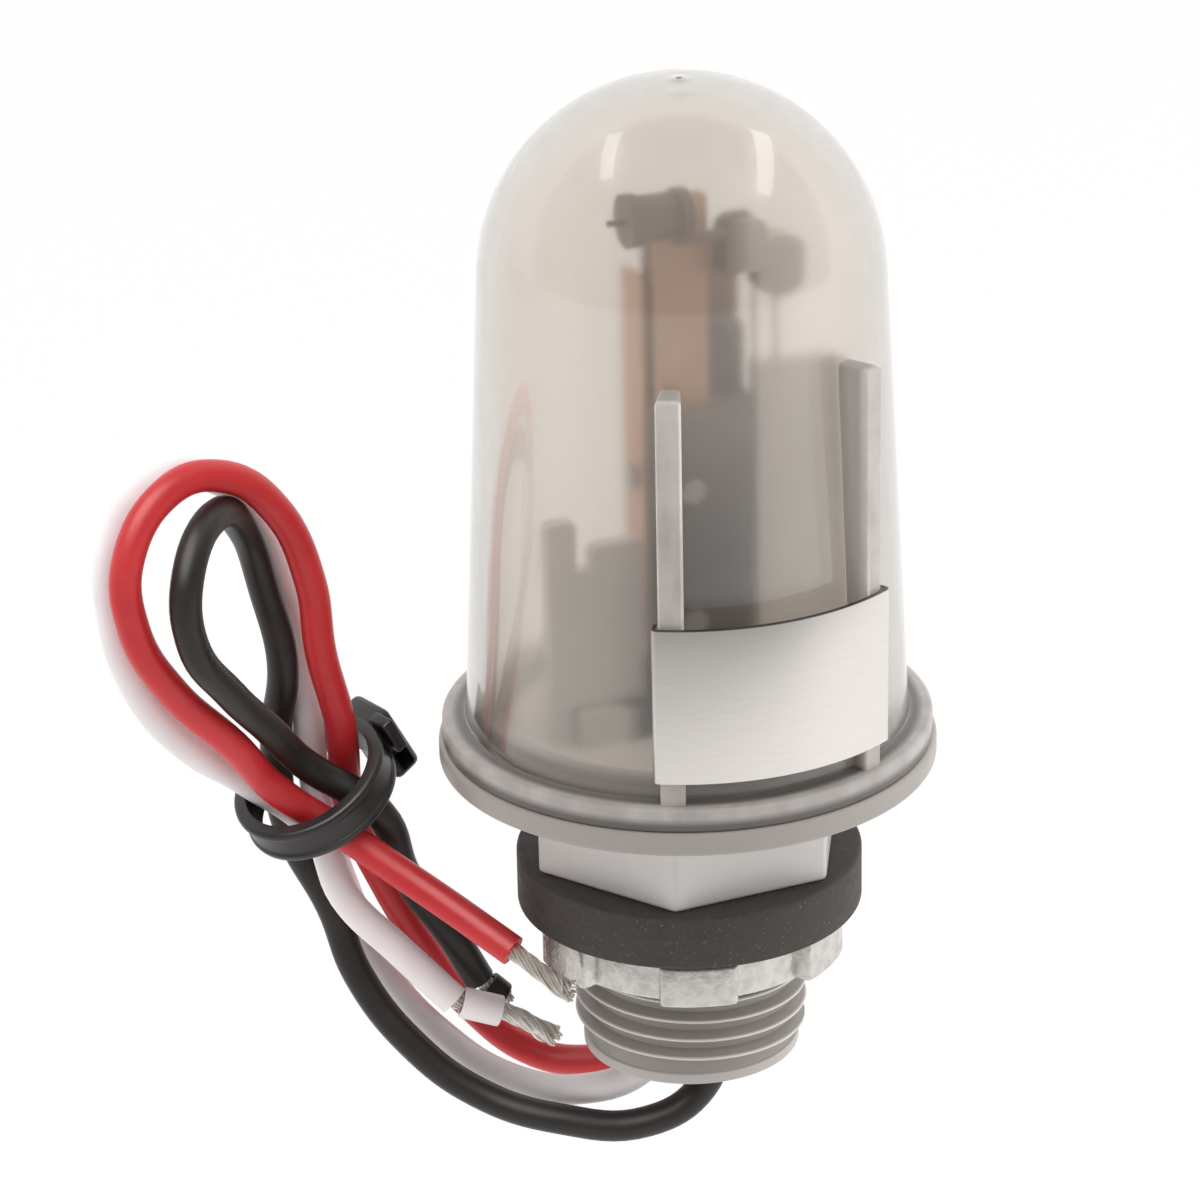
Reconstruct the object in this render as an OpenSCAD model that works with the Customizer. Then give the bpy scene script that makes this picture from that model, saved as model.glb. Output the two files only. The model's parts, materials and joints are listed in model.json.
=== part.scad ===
// Stem-mounted photocell switch: a bullet-shaped translucent cover on a hexagon base with a
// threaded stem, a sliding light shield, a sealing gasket, a locknut and three tied leads.
// The origin is the centre of the stem's mouth, +Z runs up the stem, and the shield faces -Y.

/* [Stem] */
// Diameter over the thread crests
stem_d = 20.6; // [20:0.1:21.4]
// Distance from one thread crest to the next
thread_pitch = 1.814; // [1.6:0.001:2.1]
// Depth of the thread from crest to root
thread_depth = 0.95; // [0.7:0.05:1]
// Width of the flat on each crest
crest_w = 0.4; // [0.2:0.05:0.5]
// Length of the stem from its mouth to the hexagon
stem_length = 19.2; // [18:0.1:24]
// Diameter of the wire passage
bore_d = 14; // [13:0.5:15]
// Diameter of the plain lead-in at the mouth
lead_in_d = 19.2; // [19:0.1:19.6]
// Length of the plain lead-in
lead_in_length = 1; // [0.8:0.1:2]

/* [Base] */
// Width of the hexagon across its flats
hex_af = 25.4; // [24:0.1:28]
// Height of the hexagon
hex_h = 8.85; // [6:0.05:12]
// How much the turned corners cut off the hexagon's points
hex_corner = 0.25; // [0.1:0.05:0.6]
// Turn of the hexagon from the shield's direction
hex_turn = 2; // [-30:1:30]
// Diameter of the base flange
base_flange_d = 43.4; // [43:0.1:46]
// Thickness of the base flange
base_flange_h = 2.1; // [1.6:0.1:3]
// Rounding of the base flange's rim
base_flange_edge = 0.5; // [0.2:0.1:0.7]
// Height of the ring that centres the cover
spigot_h = 3.4; // [2.6:0.1:6]
// Wall of the ring that centres the cover
spigot_wall = 1.2; // [0.8:0.1:1.6]

/* [Cover] */
// Height of the cover from its flange's underside to its top
cover_h = 59; // [57:0.5:70]
// Radius of the cover's round top
dome_r = 17.3; // [17:0.1:17.6]
// Wall thickness of the cover
cover_wall = 1.6; // [1.2:0.1:1.8]
// Draft angle of the cover's side
cover_draft = 2.8; // [2.6:0.1:3]
// Diameter of the cover's flange
cover_flange_d = 42.7; // [42:0.1:43]
// Thickness of the cover's flange
cover_flange_h = 2.1; // [1.6:0.1:3]
// Rounding of the cover flange's rim
cover_flange_edge = 0.4; // [0.2:0.1:0.7]
// Diameter of the gate mark on the top
gate_d = 1.6; // [1:0.1:2.4]
// Height of the gate mark
gate_h = 0.3; // [0.2:0.1:0.6]

/* [Rails] */
// Angle of each rail from the front
rail_angle = 26.6; // [22:0.1:30]
// Width of a rail at its outer face
rail_w = 2.2; // [2:0.1:3.2]
// How much narrower each side of a rail is at its root
rail_undercut = 0.35; // [0:0.05:0.5]
// Radius of the rails' outer faces
rail_r = 20.6; // [20.5:0.1:21.2]
// Height of the rails above the flange
rail_h = 36; // [30:0.1:38]
// Bevel at the top of a rail
rail_bevel = 0.4; // [0.3:0.1:1.6]

/* [Shield] */
// Thickness of the shield's sheet
sheet = 0.4; // [0.3:0.05:0.8]
// Height of the shield
shield_h = 13.9; // [10:0.1:18]
// Height of the shield's lower edge above the cover's flange
shield_lift = 2.3; // [2.2:0.1:6]
// Depth of the bent lips beside the rails
lip_depth = 1.1; // [0.8:0.1:1.2]
// Clearance between the shield and the rails
slide_gap = 0.15; // [0.15:0.05:0.3]

/* [Gasket and nut] */
// Outer diameter of the gasket
gasket_d = 30.4; // [29:0.1:34]
// Thickness of the gasket
gasket_h = 5; // [3:0.1:5.5]
// Diameter over the nut's lugs
lug_d = 27.6; // [26.4:0.1:29]
// Diameter of the nut's ring between the lugs
nut_ring_d = 25; // [24:0.1:25.6]
// Height of the nut
nut_h = 4.5; // [3.4:0.1:5]
// Number of lugs
lugs = 6; // [4:1:8]
// Width of a lug
lug_w = 6.8; // [5:0.1:7.6]
// Bevel on the nut's outer edges
nut_bevel = 0.5; // [0.2:0.1:0.8]
// Turn of the lugs from the shield's direction
lug_turn = -20; // [-30:1:30]
// Radial clearance of the nut and the gasket on the stem
stem_gap = 0.25; // [0.2:0.05:0.4]

/* [Inner frame] */
// Thickness of the frame's foot
foot_h = 2.2; // [1.6:0.1:3]
// Diameter of the frame's foot
foot_d = 30.4; // [28:0.1:30.6]
// Diameter of the wire opening in the foot
foot_opening_d = 11.2; // [10:0.1:12]
// Thickness of the frame's panels
panel_t = 1.6; // [1.2:0.1:2]
// Reach of the tall panel to the right of the axis
panel_reach = 14.6; // [13:0.1:14.8]
// Reach of the low panel to the left of the axis
low_panel_reach = 13.5; // [12.8:0.1:14.4]
// Height of the tall panel above the foot
panel_h = 31.7; // [26:0.1:34]
// Height of the low panel above the foot
low_panel_h = 17.7; // [12:0.1:20]
// Rounding of the panels' upper outer corners
panel_corner = 1.5; // [0.8:0.1:1.7]
// Width of the horn at the low panel's outer end
horn_w = 2.4; // [2:0.1:3]
// How far the horn stands above the low panel
horn_rise = 2.6; // [1:0.1:3]
// Width of the gap beside the horn
horn_gap = 1.4; // [1:0.1:2]
// Depth of the gap beside the horn
horn_gap_d = 2; // [1:0.1:3]

/* [Blade post] */
// Width of the post
post_w = 9.4; // [8.8:0.1:10]
// Depth of the post
post_t = 6; // [5.6:0.1:7]
// Height of the post above its flange
post_h = 26.2; // [24:0.1:28]
// Sideways place of the post's middle
post_x = 0.5; // [0.3:0.1:0.7]
// Thickness of the clamp in front of the heated blade
clamp_t = 1.6; // [1.2:0.1:1.8]
// How much narrower than the post the clamp is
clamp_inset = 1.2; // [0.8:0.1:1.6]
// Height of the shoulder beside the contact bracket
shoulder_h = 5.7; // [5:0.1:6]
// Depth of the shoulder
shoulder_t = 4; // [3:0.1:4.4]
// Width of the post's flange
post_flange_w = 23; // [22.6:0.1:23.2]
// Depth of the post's flange
post_flange_t = 9.2; // [9:0.1:10]
// Thickness of the post's flange
post_flange_h = 3; // [2.4:0.1:3.4]
// Distance between the post's two screws
screw_spacing = 19.2; // [18.8:0.1:19.4]
// Diameter of a screw's shank
screw_d = 1.8; // [1.6:0.1:2]
// Diameter of a screw's head
screw_head_d = 3.4; // [3:0.1:3.6]
// Height of a screw's head
screw_head_h = 1.4; // [1:0.1:1.8]
// Length of a screw under its head
screw_length = 9; // [8:0.5:11]

/* [Blades] */
// Thickness of both bimetal blades
blade_t = 0.4; // [0.3:0.05:0.5]
// Width of the heated blade
heater_blade_w = 4.8; // [4.4:0.1:5.2]
// Length of the heated blade
heater_blade_l = 41.2; // [40:0.1:41.6]
// Width of the compensating blade
ambient_blade_w = 4.4; // [3.6:0.1:5]
// Length of the compensating blade
ambient_blade_l = 34; // [30:0.5:36]
// Height of the blades' lower ends above the post's flange
blade_lift = 3.7; // [3:0.1:5]
// Rounding of the blades' free corners
blade_corner = 0.9; // [0.5:0.1:1.2]
// Diameter of a rivet's head
rivet_head_d = 2.2; // [1.8:0.1:2.6]
// Height of a rivet's head
rivet_head_h = 0.6; // [0.4:0.1:0.8]
// Diameter of a rivet's shank
rivet_d = 1.2; // [1:0.1:1.4]
// Length of a rivet's shank in the post
rivet_grip = 2; // [1.5:0.1:2.4]
// Distance between a blade's two rivets
rivet_spacing = 12; // [9:0.5:15]

/* [Contacts] */
// Width of the contact bracket
bracket_w = 4; // [3.6:0.1:4.6]
// Height of the contact bracket
bracket_h = 14.5; // [13.5:0.1:16]
// Height of the bracket's wing above the post's shoulder
wing_h = 7; // [5:0.1:7.4]
// Depth of the bracket's foot
bracket_foot = 3; // [2.8:0.1:3]
// Thickness of the bracket's sheet
bracket_t = 0.4; // [0.3:0.05:0.6]
// Diameter of the contact buttons
contact_d = 3; // [2.4:0.1:3.6]
// Share of the contact gap filled by the fixed button
fixed_share = 0.45; // [0.3:0.05:0.6]
// Height of the contacts above the post
contact_lift = 10.5; // [10:0.1:11]
// Height of the setting screw above the post
setting_lift = 4.5; // [4:0.1:6]
// Diameter of the setting screw
setting_d = 1.6; // [1.2:0.1:2]
// Diameter of the setting screw's head
setting_head_d = 2.8; // [2.4:0.1:3.4]
// Height of the setting screw's head
setting_head_h = 1.3; // [1:0.1:1.6]

/* [Heater and photocell] */
// Diameter of the heater's body
heater_d = 4.4; // [3.8:0.1:4.6]
// Length of the heater's body
heater_l = 5.4; // [5:0.1:5.8]
// How far the heater's middle lies to the left of the heated blade's middle
heater_shift = 3.2; // [2.6:0.1:3.4]
// Width of the heater's end caps
heater_cap = 1; // [0.6:0.1:1.4]
// Diameter of the fine wires
fine_wire_d = 0.5; // [0.4:0.05:0.6]
// Length of the heater's wire stubs
stub_l = 1.4; // [1:0.1:2]
// Diameter of the sleeved wire from the heater to the photocell
sleeve_d = 1; // [0.8:0.1:1.2]
// Diameter of the photocell
cell_d = 5.3; // [4.6:0.1:5.5]
// Width of the photocell across its flats
cell_flats = 4.2; // [4:0.1:4.4]
// Width of the photocell's holder
holder_w = 3.2; // [2.8:0.1:3.4]
// Height of the photocell's holder
holder_h = 4.6; // [4:0.1:5]
// Rounding of the holder's upper corners
holder_corner = 1.2; // [0.6:0.1:1.3]
// Thickness of the photocell
cell_t = 2.1; // [1.6:0.1:2.4]
// Height of the photocell above the tall panel
cell_lift = 9.4; // [8.4:0.1:10]
// Sideways place of the photocell
cell_x = 6.7; // [6.6:0.1:7.2]
// Distance between the photocell's two wires
cell_wire_spacing = 2; // [1.6:0.1:2.2]

/* [Leads] */
// Diameter of a lead over its insulation
lead_d = 2.8; // [2.4:0.1:2.8]
// Diameter of the bare strands
strand_d = 1.7; // [1.2:0.1:1.7]
// Length of the slid insulation on the white strands
white_slug_l = 3.6; // [2.6:0.1:3.6]
// Length of the slid insulation on the black strands
black_slug_l = 1.8; // [1.2:0.1:1.8]
// Clearance between slid insulation and strands
slug_gap = 0.2; // [0.15:0.05:0.3]

/* [Wire tie] */
// Inner diameter of the tie's loop
tie_d = 12; // [12:0.1:13]
// Thickness of the tie's band
tie_t = 1.2; // [0.9:0.1:1.5]
// Width of the tie's band
tie_w = 3.5; // [2.6:0.1:3.5]
// Depth of the tie's head from the loop outwards
tie_head_out = 3.2; // [3:0.1:5]
// Length of the tie's head along the band
tie_head_l = 5; // [4:0.1:6]
// Width of the tie's head
tie_head_w = 7; // [6:0.1:8]
// How far the head's middle lies below the band's middle
tie_head_drop = 2; // [1.4:0.1:2.6]
// How far the head's middle lies behind the loop's middle
tie_head_back = 1.2; // [0.6:0.1:1.6]
// Length of the cut tail
tail_l = 1.6; // [0.8:0.1:3]

/* [Hidden] */
$fn = 64;

// Overlap of pieces that are joined, and reach of cuts past a face
eps = 0.5;
// Clearance of screws and rivets in their holes
hole_gap = 0.05;
// Clearance between inner pieces that stand side by side
side_gap = 0.3;
// Angle of a thread's flank from the square section
flank_angle = 30;
// Width of the slot in a screw's head
slot_w = 0.6;

// Stem and base
crest_r = stem_d / 2;
root_r = crest_r - thread_depth;
flank_h = thread_depth * tan(flank_angle);
first_crest = lead_in_length + crest_w / 2 + flank_h;
crests = floor((stem_length - first_crest - crest_w / 2 - flank_h) / thread_pitch) + 1;
hex_r = hex_af / 2 / cos(30);
base_flange_z = stem_length + hex_h;
floor_z = base_flange_z + base_flange_h;

// Cover
dome_z = floor_z + cover_h - dome_r;
cover_foot_z = floor_z + cover_flange_h;
function wall_r(r, z) = r * cos(cover_draft) + (dome_z + r * sin(cover_draft) - z) * tan(cover_draft);
cavity_r = dome_r - cover_wall;
spigot_r = wall_r(cavity_r, floor_z + spigot_h) - side_gap;

// Shield: the lips run beside the rails' undercut outer sides
shield_r = rail_r + slide_gap;
shield_z = cover_foot_z + shield_lift;
rail_depth = rail_r - wall_r(cavity_r, cover_foot_z + rail_h);
undercut_slope = rail_undercut / rail_depth;
lip_x = rail_w / 2 + slide_gap;
// Stretches of the shield's round outline
shield_steps = 32;

// Gasket and nut
gasket_z = stem_length - gasket_h;
nut_z = gasket_z - nut_h;

// Inner frame and blade post
foot_z = floor_z;
panel_z = foot_z + foot_h;
panel_y = -post_t / 2;
post_left = post_x - post_w / 2;
post_right = post_x + post_w / 2;
post_foot_z = panel_z + post_flange_h;
post_top = post_foot_z + post_h;
screw_y = panel_y + panel_t + screw_head_d / 2 + side_gap;

// Blades: the heated one between the post and its clamp, the compensating one on the post's left side
blade_z = post_foot_z + blade_lift;
heater_blade_x = post_left + side_gap + heater_blade_w / 2;
front_y = -post_t / 2;
clamp_y = front_y - blade_t - clamp_t;
heater_top = blade_z + heater_blade_l;
rivet_z = blade_z + blade_lift;

// Contacts: the bracket stands behind the heated blade, its wing over the post's shoulder
bracket_y = 0;
bracket_x = heater_blade_x - bracket_w / 2;
shoulder_x = bracket_x + bracket_w + side_gap;
contact_z = post_top + contact_lift;
setting_z = post_top + setting_lift;
contact_gap = bracket_y - front_y;

// Heater and photocell: a sleeved wire under the heater's cap leads to the photocell's holder
heater_z = heater_top - blade_corner;
heater_y = front_y - blade_t - heater_d / 2 - hole_gap;
heater_x = heater_blade_x - heater_shift - heater_l / 2;
sleeve_z = heater_z - heater_d / 2;
cell_z = panel_z + panel_h + cell_lift;
cell_back = panel_y - blade_t;
cell_wire_y = panel_y + panel_t / 2;
holder_x = cell_x - cell_flats / 2 - holder_w;
holder_y = heater_y - sleeve_d / 2;

// Leads: each route runs from its terminal, down the stem, round the tied loop to its bare end
terminal_z = foot_z + 0.85;
red_route = [
    [-1, 3, terminal_z], [-1, 3, 23], [-1, 3, 15], [-1, 3, 8], [-1, 3, 1.5], [-3, 5, -3], [-7, 8, -5],
    [-11, 10.5, -4.5], [-16, 13, 0], [-20, 14, 6.5], [-23.5, 14, 13.5], [-26.5, 14, 21.5],
    [-27.5, 13, 30.5], [-29, 13, 37.5], [-29.5, 13.5, 44], [-32.5, 13, 51.5], [-38.5, 10.5, 56.5],
    [-43.5, 8.5, 56.5], [-47.5, 7, 52], [-47.5, 7, 45.5], [-44, 8, 38.5], [-38.5, 9, 32],
    [-34.5, 10.5, 26.5], [-28.5, 8, 21.5], [-26, 6, 19.5], [-22, 2, 16.5], [-18, -3, 13.5]
];
white_route = [
    [-2.5, -0.5, terminal_z], [-2.5, -0.5, 23], [-2.5, -0.5, 15], [-2.5, -0.5, 8], [-2.5, -0.5, 1.5],
    [-4.5, 1, -3], [-9, 3, -5], [-14.5, 7.5, -5], [-19.5, 11.5, -1.5], [-23.5, 15.5, 4],
    [-26, 17.5, 11.5], [-28.5, 16.5, 21], [-29.5, 16, 30], [-29.5, 17.5, 35.5], [-30.5, 18, 42],
    [-33, 17.5, 49], [-37.5, 15.5, 54.5], [-43.5, 13.5, 55], [-47.5, 11.5, 51], [-48, 11, 44.5],
    [-46, 11, 37.5], [-41.5, 12.5, 31], [-36, 14.5, 26], [-30.5, 12, 21], [-29, 9.5, 15.5],
    [-25, 7, 10.5], [-21, 4, 6]
];
black_route = [
    [1.5, -2.5, terminal_z], [1.5, -2.5, 23], [1.5, -2.5, 15], [1.5, -2.5, 8], [1.5, -2.5, 1.5],
    [0, -2.5, -4], [-5, -1.5, -7], [-12.5, 1.5, -6.5], [-18.5, 5.5, -4.5], [-23.5, 9, 0],
    [-27, 12.5, 6], [-28.5, 14.5, 12], [-31.5, 16.5, 19.5], [-32.5, 16, 28.5], [-32, 14.5, 36.5],
    [-33, 15.5, 43], [-35.2, 14, 49.8], [-39, 9.5, 53.3], [-43, 5, 50.5], [-43, 5, 44],
    [-39.2, 7, 37.8], [-35.2, 9.5, 32.8], [-31.5, 11.5, 28], [-25.5, 9, 23], [-23, 9.5, 16],
    [-20, 7.5, 11], [-17.5, 7, 6]
];
red_strand_route = [[-18, -3, 13.5], [-16, -6, 12], [-14.5, -8.5, 11]];
white_strand_route = [[-21, 4, 6], [-16.5, 2.5, 4.5], [-12.5, 0.5, 2]];
black_strand_route = [[-17.5, 7, 6], [-15, 6, 3.5]];

// Wire tie
tie_centre = [-30.2, 12.55, 25];
tie_axis = [-0.48, -0.13, 0.87];
tie_head_gap = 0.8;

cover_colour = [0.68, 0.64, 0.6, 0.45];
base_colour = [0.68, 0.68, 0.68];
aluminium_colour = [0.8, 0.79, 0.77];
rubber_colour = [0.16, 0.15, 0.15];
zinc_colour = [0.72, 0.71, 0.69];
frame_colour = [0.6, 0.6, 0.6];
post_colour = [0.3, 0.29, 0.28];
copper_colour = [0.62, 0.42, 0.3];
brass_colour = [0.72, 0.58, 0.32];
steel_colour = [0.66, 0.66, 0.66];
tinned_colour = [0.78, 0.76, 0.72];
black_colour = [0.1, 0.1, 0.1];
red_colour = [0.78, 0.08, 0.1];
white_colour = [0.9, 0.88, 0.9];

function unit(v) = v / norm(v);
function last(list) = list[len(list) - 1];
function end_direction(route) = unit(last(route) - route[len(route) - 2]);

// Direction of a route at one of its points; the first may be set to meet another piece squarely
function direction(route, i, first) =
    i == 0 ? (is_undef(first) ? unit(route[1] - route[0]) : first)
    : i == len(route) - 1 ? end_direction(route)
    : unit(route[i + 1] - route[i - 1]);

// Ring of corner points about a point of a route
function tube_ring(centre, along, r, sides) =
    let (across = unit(cross(along, [0, 1, 0])), up = cross(across, along))
    [for (k = [0 : sides - 1]) centre + r * (cos(360 * k / sides) * across + sin(360 * k / sides) * up)];

// Tube along a route, closed at both ends
module tube(route, d, first = undef) {
    sides = 8;
    rings = len(route);
    points = [for (i = [0 : rings - 1]) each tube_ring(route[i], direction(route, i, first), d / 2, sides)];
    start_cap = [for (k = [0 : sides - 1]) k];
    end_cap = [for (k = [0 : sides - 1]) rings * sides - 1 - k];
    walls = [
        for (i = [0 : rings - 2])
        for (k = [0 : sides - 1])
        let (a = i * sides + k, b = i * sides + (k + 1) % sides)
        [a, a + sides, b + sides, b]
    ];
    polyhedron(points, concat([start_cap, end_cap], walls), convexity = 6);
}

// Moves children so that their Z axis runs along a direction from a point
module aim(point, along) {
    tilt = acos(unit(along).z);
    turn = atan2(along.y, along.x);
    translate(point) rotate([0, tilt, turn]) children();
}

// Disc on z = 0 with a rounded rim
module rounded_disc(r, h, edge) {
    rotate_extrude() {
        square([r - edge, h]);
        translate([0, edge]) square([r, h - 2 * edge]);
        translate([r - edge, edge]) circle(edge);
        translate([r - edge, h - edge]) circle(edge);
    }
}

// Upright sheet in the XZ plane, from y to y + t, with its two upper corners rounded
module upright_sheet(x, y, z, w, t, h, corner) {
    translate([x, y + t, z]) rotate([90, 0, 0]) linear_extrude(t) {
        square([w, h - corner]);
        translate([corner, 0]) square([w - 2 * corner, h]);
        translate([corner, h - corner]) circle(corner);
        translate([w - corner, h - corner]) circle(corner);
    }
}

// Round pin along +Y from a point
module pin_y(point, d, l) {
    translate(point) rotate([-90, 0, 0]) cylinder(d = d, h = l);
}

// Round pin along +X from a point
module pin_x(point, d, l) {
    translate(point) rotate([0, 90, 0]) cylinder(d = d, h = l);
}

// Section of the threaded stem, from the axis outwards
module stem_section() {
    ridges = [
        for (k = [0 : crests - 1])
        let (z = first_crest + k * thread_pitch, half = crest_w / 2)
        each [
            [root_r, z - half - flank_h], [crest_r, z - half],
            [crest_r, z + half], [root_r, z + half + flank_h]
        ]
    ];
    lead_in_top = lead_in_length + hole_gap;
    lead_in = [[0, 0], [lead_in_d / 2, 0], [lead_in_d / 2, lead_in_length], [root_r, lead_in_top]];
    top = [[root_r, stem_length + eps], [0, stem_length + eps]];
    polygon(concat(lead_in, [for (p = ridges) if (p.y > lead_in_top) p], top));
}

module hexagon() {
    rotate(hex_turn) intersection() {
        cylinder(r = hex_r, h = hex_h + eps, $fn = 6);
        cylinder(r = hex_r - hex_corner, h = hex_h + eps);
    }
}

// Positions of the two screws that hold the blade post
module at_screws() {
    for (side = [-1, 1]) translate([side * screw_spacing / 2, screw_y, 0]) children();
}

module base() {
    color(base_colour) difference() {
        union() {
            rotate_extrude() stem_section();
            translate([0, 0, stem_length]) hexagon();
            translate([0, 0, base_flange_z])
                rounded_disc(base_flange_d / 2, base_flange_h, base_flange_edge);
            translate([0, 0, floor_z - eps]) difference() {
                cylinder(r = spigot_r, h = spigot_h + eps);
                cylinder(r = spigot_r - spigot_wall, h = spigot_h + 2 * eps);
            }
        }
        translate([0, 0, -eps]) cylinder(d = bore_d, h = floor_z + 2 * eps);
        at_screws() translate([0, 0, post_foot_z - screw_length - side_gap])
            cylinder(d = screw_d + 2 * hole_gap, h = screw_length);
    }
}

// Half section of a drafted bullet of dome radius r, down to height z
module bullet_section(r, z) {
    tangent = [r * cos(cover_draft), dome_z + r * sin(cover_draft)];
    polygon([[0, z], [wall_r(r, z), z], tangent, [0, tangent.y]]);
    intersection() {
        translate([0, dome_z]) circle(r, $fn = 128);
        translate([0, tangent.y]) square(r);
    }
}

// Turns children from the front to a rail's place; side is -1 for the left rail and 1 for the right
module at_rail(side) {
    rotate(side * rail_angle) children();
}

// A rail's bevelled side view, extruded across it, trims its undercut section
module rail() {
    top = cover_foot_z + rail_h;
    root = rail_r - rail_depth;
    intersection() {
        translate([0, 0, floor_z]) linear_extrude(top - floor_z) polygon([
            [-rail_w / 2, -rail_r], [rail_w / 2, -rail_r],
            [rail_w / 2 - rail_undercut, -root], [rail_undercut - rail_w / 2, -root]
        ]);
        translate([-rail_w, 0, 0]) rotate([90, 0, 90]) linear_extrude(2 * rail_w) polygon([
            [-rail_r, floor_z + base_flange_edge], [-rail_r, top - rail_bevel],
            [rail_bevel - rail_r, top], [0, top], [0, floor_z + base_flange_edge]
        ]);
    }
}

module dome_cover() {
    color(cover_colour) difference() {
        union() {
            rotate_extrude() bullet_section(dome_r, floor_z);
            translate([0, 0, floor_z])
                rounded_disc(cover_flange_d / 2, cover_flange_h, cover_flange_edge);
            for (side = [-1, 1]) at_rail(side) rail();
            translate([0, 0, floor_z + cover_h - eps]) cylinder(d = gate_d, h = gate_h + eps);
        }
        rotate_extrude() bullet_section(cavity_r, floor_z - eps);
    }
}

// Point on a circle, at an angle from the front
function polar(r, angle) = r * [sin(angle), -cos(angle)];

// Points of an arc across the front, from one end of the shield to the other
function front_arc(r, half) = [for (k = [0 : shield_steps]) polar(r, half * (2 * k / shield_steps - 1))];

// Point beside a rail, from its offset sideways and its distance from the axis
function beside_rail(side, x, y) =
    let (turn = side * rail_angle)
    [side * x * cos(turn) + y * sin(turn), side * x * sin(turn) - y * cos(turn)];

// One outline: round the outside, along one lip, back round the inside and along the other lip
module light_shield() {
    outer_r = shield_r + sheet;
    end = shield_r - lip_depth;
    inner_x = lip_x - lip_depth * undercut_slope;
    outer_x = inner_x + sheet;
    outside = front_arc(outer_r, rail_angle + asin((lip_x + sheet) / outer_r));
    inside = front_arc(shield_r, -rail_angle - asin(lip_x / shield_r));
    color(aluminium_colour) translate([0, 0, shield_z]) linear_extrude(shield_h) polygon(concat(
        outside, [beside_rail(1, outer_x, end), beside_rail(1, inner_x, end)],
        inside, [beside_rail(-1, inner_x, end), beside_rail(-1, outer_x, end)]
    ));
}

module gasket() {
    color(rubber_colour) translate([0, 0, gasket_z]) difference() {
        cylinder(d = gasket_d, h = gasket_h);
        translate([0, 0, -eps]) cylinder(r = crest_r + stem_gap, h = gasket_h + 2 * eps);
    }
}

// Disc with both outer edges bevelled
module bevelled_disc(r, h, bevel) {
    rotate_extrude() polygon([
        [0, 0], [r - bevel, 0], [r, bevel], [r, h - bevel], [r - bevel, h], [0, h]
    ]);
}

module locknut() {
    color(zinc_colour) translate([0, 0, nut_z]) difference() {
        union() {
            bevelled_disc(nut_ring_d / 2, nut_h, nut_bevel);
            intersection() {
                bevelled_disc(lug_d / 2, nut_h, nut_bevel);
                for (k = [0 : lugs - 1]) rotate(lug_turn + 360 / lugs * k)
                    translate([-lug_w / 2, -lug_d, 0]) cube([lug_w, lug_d, nut_h]);
            }
        }
        translate([0, 0, -eps]) cylinder(r = crest_r + stem_gap, h = nut_h + 2 * eps);
    }
}

// The frame's low panel, with a horn at its outer end and a gap beside the horn
module low_panel() {
    inner_end = post_left - 2 * side_gap - blade_t;
    step = horn_w + horn_gap;
    corner = panel_corner / 3;
    low_z = panel_z - eps;
    translate([-low_panel_reach, panel_y, low_z])
        cube([low_panel_reach + inner_end, panel_t, low_panel_h - horn_gap_d + eps]);
    upright_sheet(-low_panel_reach, panel_y, low_z, horn_w, panel_t, low_panel_h + horn_rise + eps, corner);
    upright_sheet(step - low_panel_reach, panel_y, low_z, low_panel_reach - step + inner_end, panel_t,
        low_panel_h + eps, corner);
}

module inner_frame() {
    notch_z = post_flange_h + side_gap;
    notch_x = post_flange_w / 2 + side_gap;
    color(frame_colour) difference() {
        union() {
            translate([0, 0, foot_z]) cylinder(d = foot_d, h = foot_h);
            upright_sheet(post_right + side_gap, panel_y, panel_z - eps,
                panel_reach - post_right - side_gap, panel_t, panel_h + eps, panel_corner);
            translate([post_right + side_gap, panel_y, panel_z - eps])
                cube([panel_corner, panel_t, panel_h + eps]);
            low_panel();
        }
        translate([0, 0, foot_z - eps]) cylinder(d = foot_opening_d, h = foot_h + 2 * eps);
        translate([-notch_x, panel_y - eps, panel_z]) cube([2 * notch_x, panel_t + 2 * eps, notch_z]);
        at_screws() translate([0, 0, foot_z - eps])
            cylinder(d = screw_d + 2 * hole_gap, h = foot_h + 2 * eps);
    }
}

// Rivet holes in the post's front and left faces, or the rivets that fill them
module rivet_shanks(d) {
    for (k = [0, 1]) {
        z = rivet_z + k * rivet_spacing;
        pin_y([heater_blade_x, clamp_y - hole_gap, z], d, clamp_t + blade_t + rivet_grip);
        pin_x([post_left - blade_t - hole_gap, 0, z], d, blade_t + rivet_grip);
    }
}

// Post with a clamp over the heated blade, which stands in the slot between them
module blade_post() {
    slot_end = heater_blade_x + heater_blade_w / 2 + hole_gap;
    color(post_colour) difference() {
        union() {
            translate([-post_flange_w / 2, -post_flange_t / 2, panel_z])
                cube([post_flange_w, post_flange_t, post_flange_h]);
            translate([post_left, front_y, post_foot_z - eps]) cube([post_w, post_t, post_h + eps]);
            translate([post_left, clamp_y, post_foot_z - eps])
                cube([post_w - clamp_inset, clamp_t + blade_t + eps, post_h + eps]);
            translate([shoulder_x, post_t / 2 - shoulder_t, post_top - eps])
                cube([post_right - shoulder_x, shoulder_t, shoulder_h + eps]);
        }
        translate([post_left - eps, front_y - blade_t, blade_z])
            cube([slot_end - post_left + eps, blade_t, post_top - blade_z + eps]);
        at_screws() translate([0, 0, panel_z - eps])
            cylinder(d = screw_d + 2 * hole_gap, h = post_flange_h + 2 * eps);
        rivet_shanks(rivet_d + 2 * hole_gap);
    }
}

module post_screws() {
    color(steel_colour) at_screws() difference() {
        union() {
            translate([0, 0, post_foot_z]) cylinder(d = screw_head_d, h = screw_head_h);
            translate([0, 0, post_foot_z - screw_length]) cylinder(d = screw_d, h = screw_length + eps);
        }
        translate([-screw_head_d, -slot_w / 2, post_foot_z + screw_head_h / 2])
            cube([2 * screw_head_d, slot_w, screw_head_h]);
    }
}

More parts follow.
